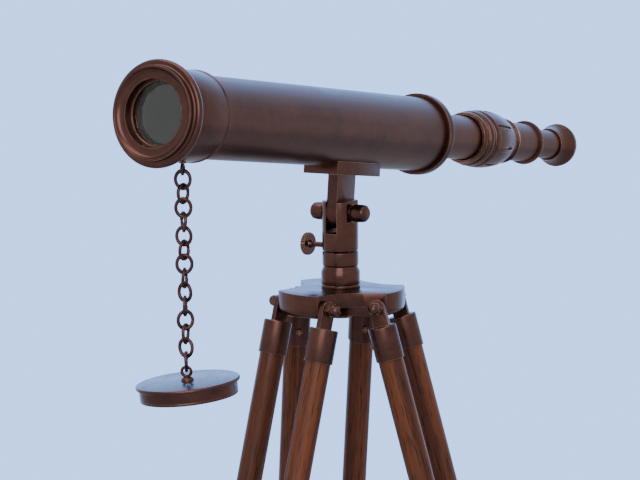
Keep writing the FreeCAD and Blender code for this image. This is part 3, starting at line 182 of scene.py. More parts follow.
def add_node(tree, kind, **settings):
    node = tree.nodes.new(kind)
    for key, value in settings.items():
        setattr(node, key, value)
    return node


def join(tree, output, target):
    tree.links.new(output, target)


def placed_pattern(tree, turn, stretch, place):
    """Object coordinates taken from a place, turned by Euler angles, then stretched along each axis."""
    where = add_node(tree, "ShaderNodeTexCoord")
    centre = add_node(tree, "ShaderNodeMapping", vector_type="POINT")
    centre.inputs["Location"].default_value = [-value for value in place]
    turned = add_node(tree, "ShaderNodeMapping", vector_type="POINT")
    turned.inputs["Rotation"].default_value = turn
    scaled = add_node(tree, "ShaderNodeMapping", vector_type="POINT")
    scaled.inputs["Scale"].default_value = stretch
    join(tree, where.outputs["Object"], centre.inputs["Vector"])
    join(tree, centre.outputs["Vector"], turned.inputs["Vector"])
    join(tree, turned.outputs["Vector"], scaled.inputs["Vector"])
    return scaled.outputs["Vector"]


def noise(tree, vector, scale, detail, roughness):
    cloud = add_node(tree, "ShaderNodeTexNoise")
    cloud.inputs["Scale"].default_value = scale
    cloud.inputs["Detail"].default_value = detail
    cloud.inputs["Roughness"].default_value = roughness
    join(tree, vector, cloud.inputs["Vector"])
    return cloud.outputs["Fac"]


def spread(tree, value, low, high, to_low=0.0, to_high=1.0):
    """Map a value from one range to another, and keep it inside."""
    ranged = add_node(tree, "ShaderNodeMapRange")
    ranged.inputs["From Min"].default_value = low
    ranged.inputs["From Max"].default_value = high
    ranged.inputs["To Min"].default_value = to_low
    ranged.inputs["To Max"].default_value = to_high
    join(tree, value, ranged.inputs["Value"])
    return ranged.outputs["Result"]


def blended(tree, factor, first, second):
    """Mix two colours. Each is a colour or a socket."""
    mix = add_node(tree, "ShaderNodeMix", data_type="RGBA")
    join(tree, factor, mix.inputs["Factor"])
    for colour, socket in ((first, mix.inputs["A"]), (second, mix.inputs["B"])):
        if isinstance(colour, tuple):
            socket.default_value = colour
        else:
            join(tree, colour, socket)
    return mix.outputs["Result"]


def worked(tree, operation, first, second):
    """One Math node; each operand is a number or a socket."""
    math_node = add_node(tree, "ShaderNodeMath", operation=operation)
    for index, operand in enumerate((first, second)):
        if isinstance(operand, (int, float)):
            math_node.inputs[index].default_value = operand
        else:
            join(tree, operand, math_node.inputs[index])
    return math_node.outputs["Value"]


def raised(tree, shader, height, strength, distance):
    bump = add_node(tree, "ShaderNodeBump")
    bump.inputs["Strength"].default_value = strength
    bump.inputs["Distance"].default_value = distance
    join(tree, height, bump.inputs["Height"])
    join(tree, bump.outputs["Normal"], shader.inputs["Normal"])


# %% [markdown]
# ## Antique copper
# The maker darkens polished copper with acid, brushes it and lacquers it. So the tree has a dark ground
# with slow purple-brown patches, fine brush lines, a painted highlight of bright copper on every edge,
# found by comparing the rounded and the true normal, and a clear coat on top.

# %% Mix the copper
DARK_COPPER = (0.054, 0.0235, 0.0195, 1)
WARM_COPPER = (0.115, 0.047, 0.037, 1)
# The next colour is the bright copper of the painted highlight on edges.
EDGE_HIGHLIGHT_COPPER = (0.58, 0.31, 0.21, 1)
BRUSHED_COPPER = (0.14, 0.064, 0.052, 1)
EDGE_HIGHLIGHT_RADIUS = 0.00055


# Painted highlight: edges are found where the rounded normal turns from the true one, so each edge shows a
# bright copper line as if it caught the light.
def painted_edge_highlight(tree, radius, ragged):
    """One on an edge, where the painted highlight goes, and nothing on the flat."""
    rounded = add_node(tree, "ShaderNodeBevel", samples=6)
    rounded.inputs["Radius"].default_value = radius
    surface = add_node(tree, "ShaderNodeNewGeometry")
    facing = add_node(tree, "ShaderNodeVectorMath", operation="DOT_PRODUCT")
    join(tree, rounded.outputs["Normal"], facing.inputs[0])
    join(tree, surface.outputs["Normal"], facing.inputs[1])
    edge_glint = spread(tree, facing.outputs["Value"], 0.995, 0.93)
    return worked(tree, "MULTIPLY", edge_glint, ragged)


def mix_copper(name, turn, place, brushed, warmth, shine, glint_strength=0.75):
    """Antique copper with a painted highlight along its edges. Brushed gives the lines' density along X, Y
    and Z after the turn.
    """
    finish, tree, shader = new_finish(name)
    still = placed_pattern(tree, turn, (1, 1, 1), place)
    lines = placed_pattern(tree, turn, brushed, place)
    patches = noise(tree, still, 26, 5, 0.6)
    cloudy = noise(tree, still, 95, 4, 0.65)
    brush = noise(tree, lines, 1.0, 3, 0.7)
    patina = worked(tree, "ADD", worked(tree, "MULTIPLY", patches, 0.65),
                    worked(tree, "MULTIPLY", cloudy, 0.35))
    warm = spread(tree, patina, 0.36 + 0.2 * (0.5 - warmth), 0.66 + 0.2 * (0.5 - warmth))
    ground = blended(tree, warm, DARK_COPPER, WARM_COPPER)
    lined = blended(tree, spread(tree, brush, 0.3, 0.75, 0.0, 0.35), ground, BRUSHED_COPPER)
    ragged = spread(tree, cloudy, 0.35, 0.6, 0.35, 1.0)
    # Painted edge highlight: the edges are mixed towards bright copper, broken up by the cloudy noise.
    edge_glint = worked(tree, "MULTIPLY", painted_edge_highlight(tree, EDGE_HIGHLIGHT_RADIUS, ragged), glint_strength)
    join(tree, blended(tree, edge_glint, lined, EDGE_HIGHLIGHT_COPPER), shader.inputs["Base Color"])
    rough = worked(tree, "ADD", spread(tree, patina, 0.3, 0.7, shine - 0.05, shine + 0.09),
                   spread(tree, brush, 0.3, 0.7, -0.04, 0.05))
    join(tree, rough, shader.inputs["Roughness"])
    shader.inputs["Metallic"].default_value = 0.92
    shader.inputs["Coat Weight"].default_value = 0.12
    shader.inputs["Coat Roughness"].default_value = 0.2
    height = worked(tree, "ADD", worked(tree, "MULTIPLY", brush, 0.6), worked(tree, "MULTIPLY", cloudy, 0.4))
    raised(tree, shader, height, 0.16, 0.00012)
    return finish


SCOPE_LEAN = (0, math.atan2(AIM.z, AIM.x), 0)
copper_tube = mix_copper("copper_drawn_tube", SCOPE_LEAN, BARREL, (5, 260, 260), 0.45, 0.33)
copper_draw = mix_copper("copper_draw_tube", SCOPE_LEAN, BARREL, (5, 260, 260), 1.0, 0.36)
copper_turned = mix_copper("copper_turned_ring", SCOPE_LEAN, BARREL, (1500, 40, 40), 0.40, 0.25)
copper_upright = mix_copper("copper_turned_upright", (0, 0, 0), HEAD, (40, 40, 1500), 0.55, 0.23)
copper_cast = mix_copper("copper_cast", (0, 0, 0), HEAD, (320, 320, 320), 0.5, 0.36)
copper_plate = mix_copper("copper_filed_plate", (0, 0, 0), HEAD, (240, 30, 240), 0.35, 0.24)
# The small handled parts take a stronger painted edge highlight.
copper_bright = mix_copper("copper_handled", (0, 0, 0), HEAD, (420, 420, 420), 0.85, 0.28, 0.9)
print("seven coppers")

# %% [markdown]
# ## Lacquered hardwood
# The legs are reddish hardwood dowels. The grain runs down each leg, so the pattern is turned with the
# leg and stretched along it: broad soft bands, fine dark pores, and a lacquer that is glossier than the
# wood under it. Each leg has its own finish, because each leans another way.

# %% Mix the wood for each leg
DARK_WOOD = (0.062, 0.015, 0.006, 1)
RED_WOOD = (0.185, 0.052, 0.018, 1)
FIBRE = (0.060, 0.018, 0.011, 1)
PORE = (0.018, 0.006, 0.004, 1)


def leg_lean(name):
    """Rotation that brings the leg's length onto Z."""
    along = -Vector(JOINTS[name + "_extend"]["axis"])
    return along.rotation_difference(Vector((0, 0, 1))).to_euler()


def mix_wood(name, turn, place):
    finish, tree, shader = new_finish(name)
    bands = noise(tree, placed_pattern(tree, turn, (95, 95, 2.2), place), 1.0, 4, 0.6)
    fibres = noise(tree, placed_pattern(tree, turn, (520, 520, 6), place), 1.0, 4, 0.7)
    pores = noise(tree, placed_pattern(tree, turn, (900, 900, 55), place), 1.0, 2, 0.5)
    tone = blended(tree, spread(tree, bands, 0.36, 0.66), DARK_WOOD, RED_WOOD)
    streaked = blended(tree, spread(tree, fibres, 0.40, 0.68, 0.0, 0.75), tone, FIBRE)
    pored = blended(tree, spread(tree, pores, 0.55, 0.66, 0.0, 0.9), streaked, PORE)
    join(tree, pored, shader.inputs["Base Color"])
    join(tree, spread(tree, fibres, 0.3, 0.7, 0.34, 0.50), shader.inputs["Roughness"])
    shader.inputs["Specular IOR Level"].default_value = 0.22
    shader.inputs["Coat Weight"].default_value = 0.1
    shader.inputs["Coat Roughness"].default_value = 0.2
    height = worked(tree, "SUBTRACT", worked(tree, "MULTIPLY", fibres, 0.4),
                    worked(tree, "MULTIPLY", pores, 0.6))
    raised(tree, shader, height, 0.30, 0.00018)
    return finish


woods = {leg: mix_wood("hardwood_" + leg, leg_lean(leg), JOINTS[leg + "_fold"]["pos_m"]) for leg in LEGS}
print("woods for", list(woods))

# %% [markdown]
# ## Glass
# The lenses are clear with a faint green cast and a few smears, which roughen small patches.

# %% Mix the glass
def mix_glass(name):
    finish, tree, shader = new_finish(name)
    still = placed_pattern(tree, SCOPE_LEAN, (1, 1, 1), BARREL)
    smear = noise(tree, still, 70, 4, 0.6)
    shader.inputs["Base Color"].default_value = (0.80, 0.92, 0.86, 1)
    shader.inputs["Transmission Weight"].default_value = 1.0
    shader.inputs["IOR"].default_value = 1.6
    join(tree, spread(tree, smear, 0.45, 0.8, 0.0, 0.12), shader.inputs["Roughness"])
    return finish


lens_glass = mix_glass("lens_glass")
print("glass", lens_glass.name)

# %% [markdown]
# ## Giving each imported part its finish
# A part whose shape is already right keeps its mesh and only takes a finish.

# %% Hand out the finishes
def give(finish, *names):
    for name in names:
        slots = NODES[name].data.materials
        slots.clear()
        slots.append(finish)


give(copper_tube, "barrel_tube")
give(copper_draw, "draw_1_tube", "draw_2_tube", "draw_3_tube")
give(copper_turned, "objective_collar", "objective_bezel", "rear_ring", "grip_collar", "draw_2_end_ring",
     "eyepiece_cup", "lens_retainer", "draw_1_bush", "draw_2_bush", "draw_3_bush")
give(copper_upright, "column_base", "clevis", "lens_cap", "pan_spindle")
give(copper_cast, "saddle", "chain_eye", "chain_upper_links", "chain_lower_links", "cap_knob")
give(copper_plate, "head_plate")
give(copper_bright, "tilt_stud", "tilt_washers", "tilt_knobs", "pan_lock_screw", "leg_studs",
     "leg_washers", "leg_dome_nuts", "saddle_screws")
give(lens_glass, "objective_lens", "erector_lens", "eye_lens")
for leg in LEGS:
    give(copper_cast, leg + "_hinge_ferrules", leg + "_lower_bracket", leg + "_guide_bracket", leg + "_foot")
    give(copper_bright, leg + "_ferrule_screws", leg + "_lock_screw")
    give(woods[leg], leg + "_outer_dowels", leg + "_slide_dowel")

for node in NODES.values():
    bpy.ops.object.select_all(action="DESELECT")
    node.select_set(True)
    bpy.context.view_layer.objects.active = node
    bpy.ops.object.shade_smooth_by_angle(angle=math.radians(28))
bpy.ops.object.select_all(action="DESELECT")
print(len(NODES), "packed parts have a finish")

# %% [markdown]
# ## Turning on a lathe
# Most of the metal is turned, so most pieces start as half of a cross-section. One vertex is extruded
# from point to point round the section, and the section is spun about the axis. Real turned edges are
# never sharp: each corner is eased first, so that it catches a thin line of light.

# %% Trace an outline: arcs sampled, corners eased
ARC_STEPS = 7


def arc_points(start, middle, end):
    """Points after the start on the circle through three points."""
    (ax, ay), (bx, by), (cx, cy) = start, middle, end
    double_area = 2 * (ax * (by - cy) + bx * (cy - ay) + cx * (ay - by))
    if abs(double_area) < 1e-9:
        return [end]
    squares = [x * x + y * y for x, y in (start, middle, end)]
    centre_x = (squares[0] * (by - cy) + squares[1] * (cy - ay) + squares[2] * (ay - by)) / double_area
    centre_y = (squares[0] * (cx - bx) + squares[1] * (ax - cx) + squares[2] * (bx - ax)) / double_area
    radius = math.hypot(ax - centre_x, ay - centre_y)
    turns = [math.atan2(y - centre_y, x - centre_x) for x, y in (start, middle, end)]
    through = (turns[1] - turns[0]) % math.tau
    whole = (turns[2] - turns[0]) % math.tau
    if through > whole:
        whole -= math.tau
    return [(centre_x + radius * math.cos(turns[0] + whole * step / ARC_STEPS),
             centre_y + radius * math.sin(turns[0] + whole * step / ARC_STEPS))
            for step in range(1, ARC_STEPS + 1)]


def traced(outline, ease):
    """Outline in millimetres to points; four numbers are an arc's middle and end, two are a corner."""
    points = [tuple(outline[0][-2:])]
    for step in outline[1:]:
        if len(step) == 4:
            points += arc_points(points[-1], step[:2], step[2:])
        else:
            points.append(tuple(step))
    soft = []
    for index, point in enumerate(points):
        corner = Vector(point)
        before = Vector(points[index - 1]) - corner
        after = Vector(points[(index + 1) % len(points)]) - corner
        on_axis = abs(corner.y) < 1e-6
        if on_axis or before.length < 1e-6 or after.length < 1e-6 or before.angle(after) > math.radians(155):
            soft.append(corner)
            continue
        cut = min(ease, 0.4 * before.length, 0.4 * after.length)
        start = corner + before.normalized() * cut
        end = corner + after.normalized() * cut
        soft += [start, (start + end) * 0.25 + corner * 0.5, end]
    return soft


# %% Spin an outline into a piece
def open_piece(name):
    bpy.ops.object.select_all(action="DESELECT")
    bpy.ops.mesh.primitive_plane_add(size=MM, location=(0, 0, 0))
    piece = bpy.context.object
    piece.name = name
    piece.data.name = name
    bpy.ops.object.mode_set(mode="EDIT")
    bpy.ops.mesh.select_mode(type="VERT")
    bpy.ops.mesh.select_all(action="SELECT")
    bpy.ops.mesh.merge(type="CENTER")
    return piece


def lathe(name, outline, ease=0.35, steps=96):
    """Piece turned about X from an outline of (station, radius) in millimetres."""
    piece = open_piece(name)
    points = [Vector((x, 0, radius)) * MM for x, radius in traced(outline, ease)]
    bpy.ops.transform.translate(value=points[0])
    for here, there in zip(points, points[1:] + points[:1]):
        bpy.ops.mesh.extrude_region_move(TRANSFORM_OT_translate={"value": there - here})
    bpy.ops.mesh.select_all(action="SELECT")
    bpy.ops.mesh.remove_doubles(threshold=1e-7)
    bpy.ops.mesh.select_all(action="SELECT")
    bpy.ops.mesh.spin(steps=steps, angle=math.tau, center=(0, 0, 0), axis=(1, 0, 0))
    bpy.ops.mesh.select_all(action="SELECT")
    bpy.ops.mesh.remove_doubles(threshold=1e-6)
    bpy.ops.mesh.normals_make_consistent(inside=False)
    bpy.ops.object.mode_set(mode="OBJECT")
    bpy.ops.object.shade_smooth_by_angle(angle=math.radians(40))
    return piece


def settle(piece, place):
    """Put a piece at its place and apply it, so that the object ends at the origin, unturned."""
    bpy.ops.object.select_all(action="DESELECT")
    piece.select_set(True)
    bpy.context.view_layer.objects.active = piece
    piece.matrix_world = place
    bpy.ops.object.transform_apply(location=True, rotation=True, scale=True)


def stand_in(piece, finish, body, slot, *nodes):
    """Finish a piece, and let it ride on its body in place of CAD nodes."""
    piece.data.materials.clear()
    piece.data.materials.append(finish)
    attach(piece, body)
    if nodes:
        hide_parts(*nodes)
    print(piece.name, len(piece.data.polygons), "faces")


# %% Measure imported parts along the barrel
def stations(node):
    """Rear and front end of a part along the barrel, in millimetres from over the pivot."""
    along = [(vertex.co - BARREL).dot(AIM) / MM for vertex in NODES[node].data.vertices]
    return min(along), max(along)


def girth(node):
    """Greatest radius of a part about the barrel's axis, in millimetres."""
    out = [((vertex.co - BARREL) - AIM * (vertex.co - BARREL).dot(AIM)).length / MM
           for vertex in NODES[node].data.vertices]
    return max(out)


TUBE_REAR, TUBE_FRONT = stations("barrel_tube")
TUBE = girth("barrel_tube")
BARREL_WALL = 1.5
DRAW_WALL = 1.0
FIT = 0.06
BORE = TUBE - BARREL_WALL
print("barrel from", round(TUBE_REAR, 2), "to", round(TUBE_FRONT, 2), "radius", round(TUBE, 2))

# %% [markdown]
# ## The objective's bezel
# A heavy turned ring closes the front. From the collar it swells to its widest line, drops in a cove to
# the spigot that the cap fits over, and ends in a thin lip. Inside the lip a hollow curve runs down to
# the raised edge of the aperture.

# %% Turn the bezel
APERTURE = BORE - 4.4
SPIGOT = TUBE + 3.1
LIP_WALL = 1.6
CELL_END = TUBE_FRONT - 15
BOWL = TUBE_FRONT + 9.8
LIP = TUBE_FRONT + 12.3
LEDGE = stations("objective_lens")[0]
bezel = lathe("objective_bezel_turned", [
    (CELL_END, APERTURE - 2.6), (CELL_END, BORE), (TUBE_FRONT, BORE), (TUBE_FRONT, TUBE + 4.6),
    (TUBE_FRONT + 2.4, TUBE + 7.2, TUBE_FRONT + 5.0, TUBE + 7.86),
    (TUBE_FRONT + 7.1, TUBE + 6.7, TUBE_FRONT + 7.4, TUBE + 4.7),
    (TUBE_FRONT + 7.8, SPIGOT + 0.5, TUBE_FRONT + 9.0, SPIGOT),
    (LIP, SPIGOT), (LIP, SPIGOT - LIP_WALL),
    (TUBE_FRONT + 9.4, (SPIGOT - LIP_WALL + APERTURE + 0.8) / 2, BOWL, APERTURE + 0.8),
    (BOWL, APERTURE), (LEDGE, APERTURE), (LEDGE, APERTURE - 2.6)], steps=144)
settle(bezel, ON_BARREL)
stand_in(bezel, copper_turned, "telescope", "antique_copper", "objective_bezel")

# %% [markdown]
# ## Collar and rear ring
# The collar behind the bezel has a fine bead round its rear edge. The ring that closes the barrel's
# other end has a line near its front and a round shoulder down to the first draw.

# %% Turn the collar and the rear ring
collar_rear, collar_front = stations("objective_collar")
SKIN = TUBE + 2.5
collar = lathe("objective_collar_turned", [
    (collar_rear, TUBE), (collar_rear, SKIN - 0.3),
    (collar_rear + 1.2, SKIN + 0.5, collar_rear + 2.4, SKIN - 0.25),
    (collar_rear + 2.8, SKIN - 0.25), (collar_rear + 3.1, SKIN), (collar_front - 2.2, SKIN),
    (collar_front - 1.9, SKIN - 0.35), (collar_front - 1.3, SKIN - 0.35), (collar_front - 1.0, SKIN),
    (collar_front, SKIN), (collar_front, TUBE)], ease=0.2, steps=144)
settle(collar, ON_BARREL)
stand_in(collar, copper_turned, "telescope", "antique_copper", "objective_collar")

ring_front = TUBE_REAR + 7.2
ring_nose = TUBE_REAR - 8
sleeve_front = TUBE_REAR + 20
DRAW_1 = girth("draw_1_tube")
RING = TUBE + 3.15
SLEEVE = DRAW_1 + 2.56
rear_ring = lathe("rear_ring_turned", [
    (ring_nose, DRAW_1 + FIT), (ring_nose, DRAW_1 + 2.3),
    (TUBE_REAR - 5.2, RING - 4.2, TUBE_REAR + 0.2, RING),
    (ring_front - 2.9, RING), (ring_front - 2.4, RING - 0.5), (ring_front - 1.9, RING),
    (ring_front, RING), (ring_front, TUBE), (TUBE_REAR, TUBE), (TUBE_REAR, SLEEVE),
    (sleeve_front, SLEEVE), (sleeve_front, DRAW_1 + FIT)], ease=0.3, steps=144)
settle(rear_ring, ON_BARREL)
stand_in(rear_ring, copper_turned, "telescope", "antique_copper", "rear_ring")

# %% [markdown]
# ## The grip
# The first draw ends in a barrel-shaped grip: a thin flange, a step, and a bulged body with eight slots
# cut along it. Between the slots lie panels with a scribed frame. The body is turned first. Then the
# panels get their frames by inset, and the faces that lie in each slot are pushed in.

# %% Turn the grip and cut its slots and panels
GRIP_SLOTS = 8
GRIP_STEPS = 128
SLOT_TURN = 27.0
SLOT_HALF_TURN = 2.7
SLOT_DEPTH = 1.6
PANEL_MARGIN = 5.0
grip_front = stations("grip_collar")[1]
DRAW_2 = girth("draw_2_tube")
flange_rear = grip_front - 7.3
step_rear = flange_rear - 9.0
body_rear = step_rear - 38.0
slot_front = grip_front - 22.9
slot_rear = slot_front - 26.6
tube_end = step_rear - 10
tail_rear = grip_front - 68.3
BODY = DRAW_1 + 6.3


def body_radius(station):
    """Radius of the grip's bulged body: a parabola, fullest a little ahead of its middle."""
    fullest = step_rear - 13
    drop = (station - fullest) / (body_rear - fullest)
    return BODY - 3.3 * drop * drop


rings = [step_rear - 1.2, (step_rear - 1.2 + slot_front) / 2]
rings += [slot_front + (slot_rear - slot_front) * step / 6 for step in range(7)]
rings += [(slot_rear + body_rear) / 2, body_rear]
grip = lathe("grip_turned", [
    (grip_front, DRAW_1), (grip_front, DRAW_1 + 3.7), (flange_rear, DRAW_1 + 4.1),
    (flange_rear, DRAW_1 + 2.7), (flange_rear - 1.2, DRAW_1 + 2.7), (flange_rear - 1.2, DRAW_1 + 5.1),
    (step_rear, DRAW_1 + 5.5), (step_rear, DRAW_1 + 4.1), (step_rear - 1.2, DRAW_1 + 4.1)]
    + [(station, body_radius(station)) for station in rings]
    + [(body_rear, DRAW_2 + 2.9), (body_rear - 1.2, DRAW_2 + 2.9), (body_rear - 1.2, DRAW_2 + 3.5),
       (body_rear - 4.5, DRAW_2 + 3.1), (body_rear - 4.5, DRAW_2 + 2.3), (tail_rear, DRAW_2 + 1.9),
       (tail_rear, DRAW_2 + FIT), (tube_end, DRAW_2 + FIT), (tube_end, DRAW_1)],
    ease=0.22, steps=GRIP_STEPS)


def pick_faces(piece, wanted):
    """Select in edit mode the faces that a test on their middle (in millimetres) accepts."""
    bpy.ops.object.mode_set(mode="OBJECT")
    for polygon in piece.data.polygons:
        polygon.select = wanted(Vector(polygon.center) / MM)
    bpy.ops.object.mode_set(mode="EDIT")
    bpy.ops.mesh.select_mode(type="FACE")


def slot_offset(middle):
    """Degrees from the nearest slot's middle, round the grip."""
    turn = math.degrees(math.atan2(middle.z, -middle.y)) - (90 - SLOT_TURN)
    pitch = 360 / GRIP_SLOTS
    return abs((turn + pitch / 2) % pitch - pitch / 2)


def on_body(middle):
    out = math.hypot(middle.y, middle.z)
    return slot_rear < middle.x < slot_front and out > DRAW_1 + 2.6


bpy.ops.object.select_all(action="DESELECT")
grip.select_set(True)
bpy.context.view_layer.objects.active = grip
for turn_step in range(GRIP_SLOTS):
    middle_turn = 360 / GRIP_SLOTS * (turn_step + 0.5)

    def in_panel(middle, wanted=middle_turn):
        turn = (math.degrees(math.atan2(middle.z, -middle.y)) - (90 - SLOT_TURN)) % 360
        return on_body(middle) and abs(turn - wanted) < 360 / GRIP_SLOTS / 2 - PANEL_MARGIN

    pick_faces(grip, in_panel)
    bpy.ops.mesh.inset(thickness=0.5 * MM, depth=0)
    bpy.ops.mesh.inset(thickness=0.35 * MM, depth=-0.45 * MM)
    bpy.ops.mesh.inset(thickness=0.35 * MM, depth=0.40 * MM)
pick_faces(grip, lambda middle: on_body(middle) and slot_offset(middle) < SLOT_HALF_TURN)
bpy.ops.mesh.extrude_region_shrink_fatten(TRANSFORM_OT_shrink_fatten={"value": -SLOT_DEPTH * MM})
bpy.ops.object.mode_set(mode="OBJECT")
bpy.ops.object.shade_smooth_by_angle(angle=math.radians(30))
settle(grip, ON_BARREL)
stand_in(grip, copper_turned, "draw_1", "antique_copper", "grip_collar")

# %% [markdown]
# ## The end ring and the eyepiece
# The second draw ends in a plain ring. The last one carries the eyepiece, a mushroom-shaped cup with a
# dished face, turned from one piece.

# %% Turn the end ring and the eyepiece
DRAW_3 = girth("draw_3_tube")
end_rear = stations("draw_2_end_ring")[0]
end_front = end_rear + 4.6
spigot_front = end_front + 12
end_ring = lathe("draw_2_end_ring_turned", [
    (end_rear, DRAW_3 + FIT), (end_rear, DRAW_2 + 1.16),
    (end_rear + 1.4, DRAW_2 + 2.16, end_front, DRAW_2 + 2.36), (end_front, DRAW_2 - DRAW_WALL),
    (spigot_front, DRAW_2 - DRAW_WALL), (spigot_front, DRAW_3 + FIT)], ease=0.25)
settle(end_ring, ON_BARREL)
stand_in(end_ring, copper_turned, "draw_2", "antique_copper", "draw_2_end_ring")

eye_rear, eye_front = stations("eyepiece_cup")
cup_ring = eye_front - 4
widest = eye_front - 17.6
lens_back = cup_ring - 12
EYE_HOLE = 5.0
EYE_BORE = DRAW_3 - 3.6
eyepiece = lathe("eyepiece_turned", [
    (eye_front, DRAW_3), (eye_front, DRAW_3 + 1.7), (cup_ring, DRAW_3 + 1.7),
    (cup_ring - 5.6, DRAW_3 + 2.9, widest + 1.4, DRAW_3 + 6.1),
    (widest, DRAW_3 + 6.6, widest - 2.0, DRAW_3 + 6.0),
    (eye_rear + 1.2, DRAW_3 + 4.9, eye_rear, DRAW_3 + 2.8),
    (eye_rear + 1.4, DRAW_3 - 0.2, eye_rear + 4.2, EYE_HOLE), (lens_back, EYE_HOLE), (lens_back, EYE_BORE),
    (cup_ring, EYE_BORE), (cup_ring, DRAW_3)], ease=0.3)
settle(eyepiece, ON_BARREL)
stand_in(eyepiece, copper_turned, "draw_3", "antique_copper", "eyepiece_cup")

# %% [markdown]
# ## Column, knobs and lens cap
# The column under the clevis is turned too, and so are the two tilt knobs and the cap. They stand
# upright or lie across, so each outline is made along X and then turned to its own line.

# %% Turn the column's base
UPRIGHT = Matrix.Rotation(math.radians(-90), 4, "Y")
CLEVIS = (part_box("clevis")[1].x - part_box("clevis")[0].x) / 2 / MM
SPINDLE = 6.0
BASE = CLEVIS + 1.07
COLUMN_TOP = 28.6
column = lathe("column_turned", [
    (0, SPINDLE), (0, BASE), (2.1, BASE), (2.7, CLEVIS + 0.47), (3.3, BASE), (12.9, BASE),
    (16.8, CLEVIS - 0.7), (17.4, CLEVIS - 0.7), (18.0, CLEVIS), (28.0, CLEVIS),
    (COLUMN_TOP, CLEVIS - 0.6), (COLUMN_TOP, SPINDLE)], ease=0.3)
settle(column, ON_HEAD @ UPRIGHT)
stand_in(column, copper_upright, "tripod_head", "antique_copper", "column_base")

# %% Turn the two tilt knobs
knob_low, knob_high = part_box("tilt_knobs")
KNOB = (knob_high.z - knob_low.z) / 2 / MM
stud_low, stud_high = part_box("tilt_stud")
knob_start = (stud_high.y - stud_low.y) / 2 / MM
KNOB_LENGTH = (knob_high.y - knob_low.y) / 2 / MM - knob_start
knobs = []
for side in (1, -1):
    knob = lathe("tilt_knob_turned", [
        (0, 0), (0, KNOB - 1.6), (1.2, KNOB - 0.4),
        (KNOB_LENGTH * 0.45, KNOB - 0.02, KNOB_LENGTH - 2.6, KNOB - 0.5),
        (KNOB_LENGTH - 0.7, KNOB * 0.68, KNOB_LENGTH, KNOB * 0.5), (KNOB_LENGTH, 0)], ease=0.25, steps=48)
    across = Matrix.Rotation(math.radians(90 * side), 4, "Z")
    settle(knob, Matrix.Translation(PIVOT) @ across @ Matrix.Translation(Vector((knob_start * MM, 0, 0))))
    knobs.append(knob)
bpy.ops.object.select_all(action="DESELECT")
for knob in knobs:
    knob.select_set(True)
bpy.context.view_layer.objects.active = knobs[0]
bpy.ops.object.join()
knobs[0].name = "tilt_knobs_turned"
stand_in(knobs[0], copper_bright, "turret", "polished_copper", "tilt_knobs")

# %% Turn the lens cap
cap_mesh = NODES["lens_cap"].data
cap_up = Vector((0, 0, 0))
for polygon in cap_mesh.polygons:
    if polygon.normal.z > 0.95:
        cap_up += polygon.normal * polygon.area
cap_up.normalize()


def middle_along(direction):
    """Middle of the cap's extent along a direction. A disc is even about its own centre."""
    along = [vertex.co.dot(direction) for vertex in cap_mesh.vertices]
    return (min(along) + max(along)) / 2


cap_side = cap_up.orthogonal().normalized()
cap_other = cap_up.cross(cap_side)
cap_top = max(vertex.co.dot(cap_up) for vertex in cap_mesh.vertices)
cap_top_middle = cap_up * cap_top + cap_side * middle_along(cap_side) + cap_other * middle_along(cap_other)
CAP = SPIGOT + 4.4
SKIRT = SPIGOT + 2.1
CAP_BORE = SPIGOT + 0.3
TOP_DEPTH = 2.8
CAP_DEPTH = 11.6
cap = lathe("lens_cap_turned", [
    (0, 0), (0, CAP - 1.4), (-1.4, CAP, -TOP_DEPTH, CAP - 1.4),
    (-TOP_DEPTH, SKIRT), (-9.4, SKIRT), (-9.8, SKIRT - 0.25), (-10.2, SKIRT), (-CAP_DEPTH, SKIRT),
    (-CAP_DEPTH, CAP_BORE), (-TOP_DEPTH, CAP_BORE), (-TOP_DEPTH, 0)], ease=0.25, steps=144)
cap_turn = Vector((1, 0, 0)).rotation_difference(cap_up).to_matrix().to_4x4()
settle(cap, Matrix.Translation(cap_top_middle) @ cap_turn)
stand_in(cap, copper_upright, "cap", "antique_copper", "lens_cap")

# %% [markdown]
# ## The chain
# Each link is a piece of wire bent round a bar and closed butt to butt, so no two are quite alike: a link
# is a little longer than wide, slightly twisted, and shows the joint in its side. One ring is made for
# each place, pulled long, pinched at the joint and twisted. Neighbours stand about across each other.

# %% Bend the links and hang them
LINK_WIRE = 1.25
LINK_LENGTH = 14.1
LINK_HALF_WIDTH = 5.35
LINK_PINCH = 0.72
LINKS_EACH_HALF = 7
TOP_LINK_DEPTH = 9
LINK_TURNS = (0, 64, 8, 118, -6, 70, 12)
LINK_TWISTS = (14, -10, 9, 16, -12, 11, -15)


def bend_link(centre, half_length, half_width, turn, twist):
    bpy.ops.object.select_all(action="DESELECT")
    bpy.ops.mesh.primitive_torus_add(major_radius=half_width, minor_radius=LINK_WIRE * MM, major_segments=36,
                                     minor_segments=12, location=(0, 0, 0), rotation=(math.radians(90), 0, 0))
    link = bpy.context.object
    bpy.ops.object.transform_apply(location=False, rotation=True, scale=False)
    bpy.ops.object.mode_set(mode="EDIT")
    bpy.ops.mesh.select_mode(type="VERT")
    bpy.ops.mesh.select_all(action="DESELECT")
    bpy.ops.object.mode_set(mode="OBJECT")
    for vertex in link.data.vertices:
        vertex.select = vertex.co.x > 0 and abs(vertex.co.z) < 0.15 * MM
    bpy.ops.object.mode_set(mode="EDIT")
    bpy.ops.transform.resize(value=(1.0, LINK_PINCH, 1.0), center_override=(half_width, 0, 0))
    bpy.ops.mesh.select_all(action="SELECT")
    bpy.ops.transform.resize(value=(1, 1, half_length / half_width), center_override=(0, 0, 0))
    bpy.ops.object.mode_set(mode="OBJECT")
    bend = link.modifiers.new("twisted", "SIMPLE_DEFORM")
    bend.deform_method = "TWIST"
    bend.deform_axis = "Z"
    bend.angle = math.radians(twist)
    bpy.ops.object.modifier_apply(modifier="twisted")
    settle(link, Matrix.Translation(centre) @ Matrix.Rotation(math.radians(turn), 4, "Z"))
    return link


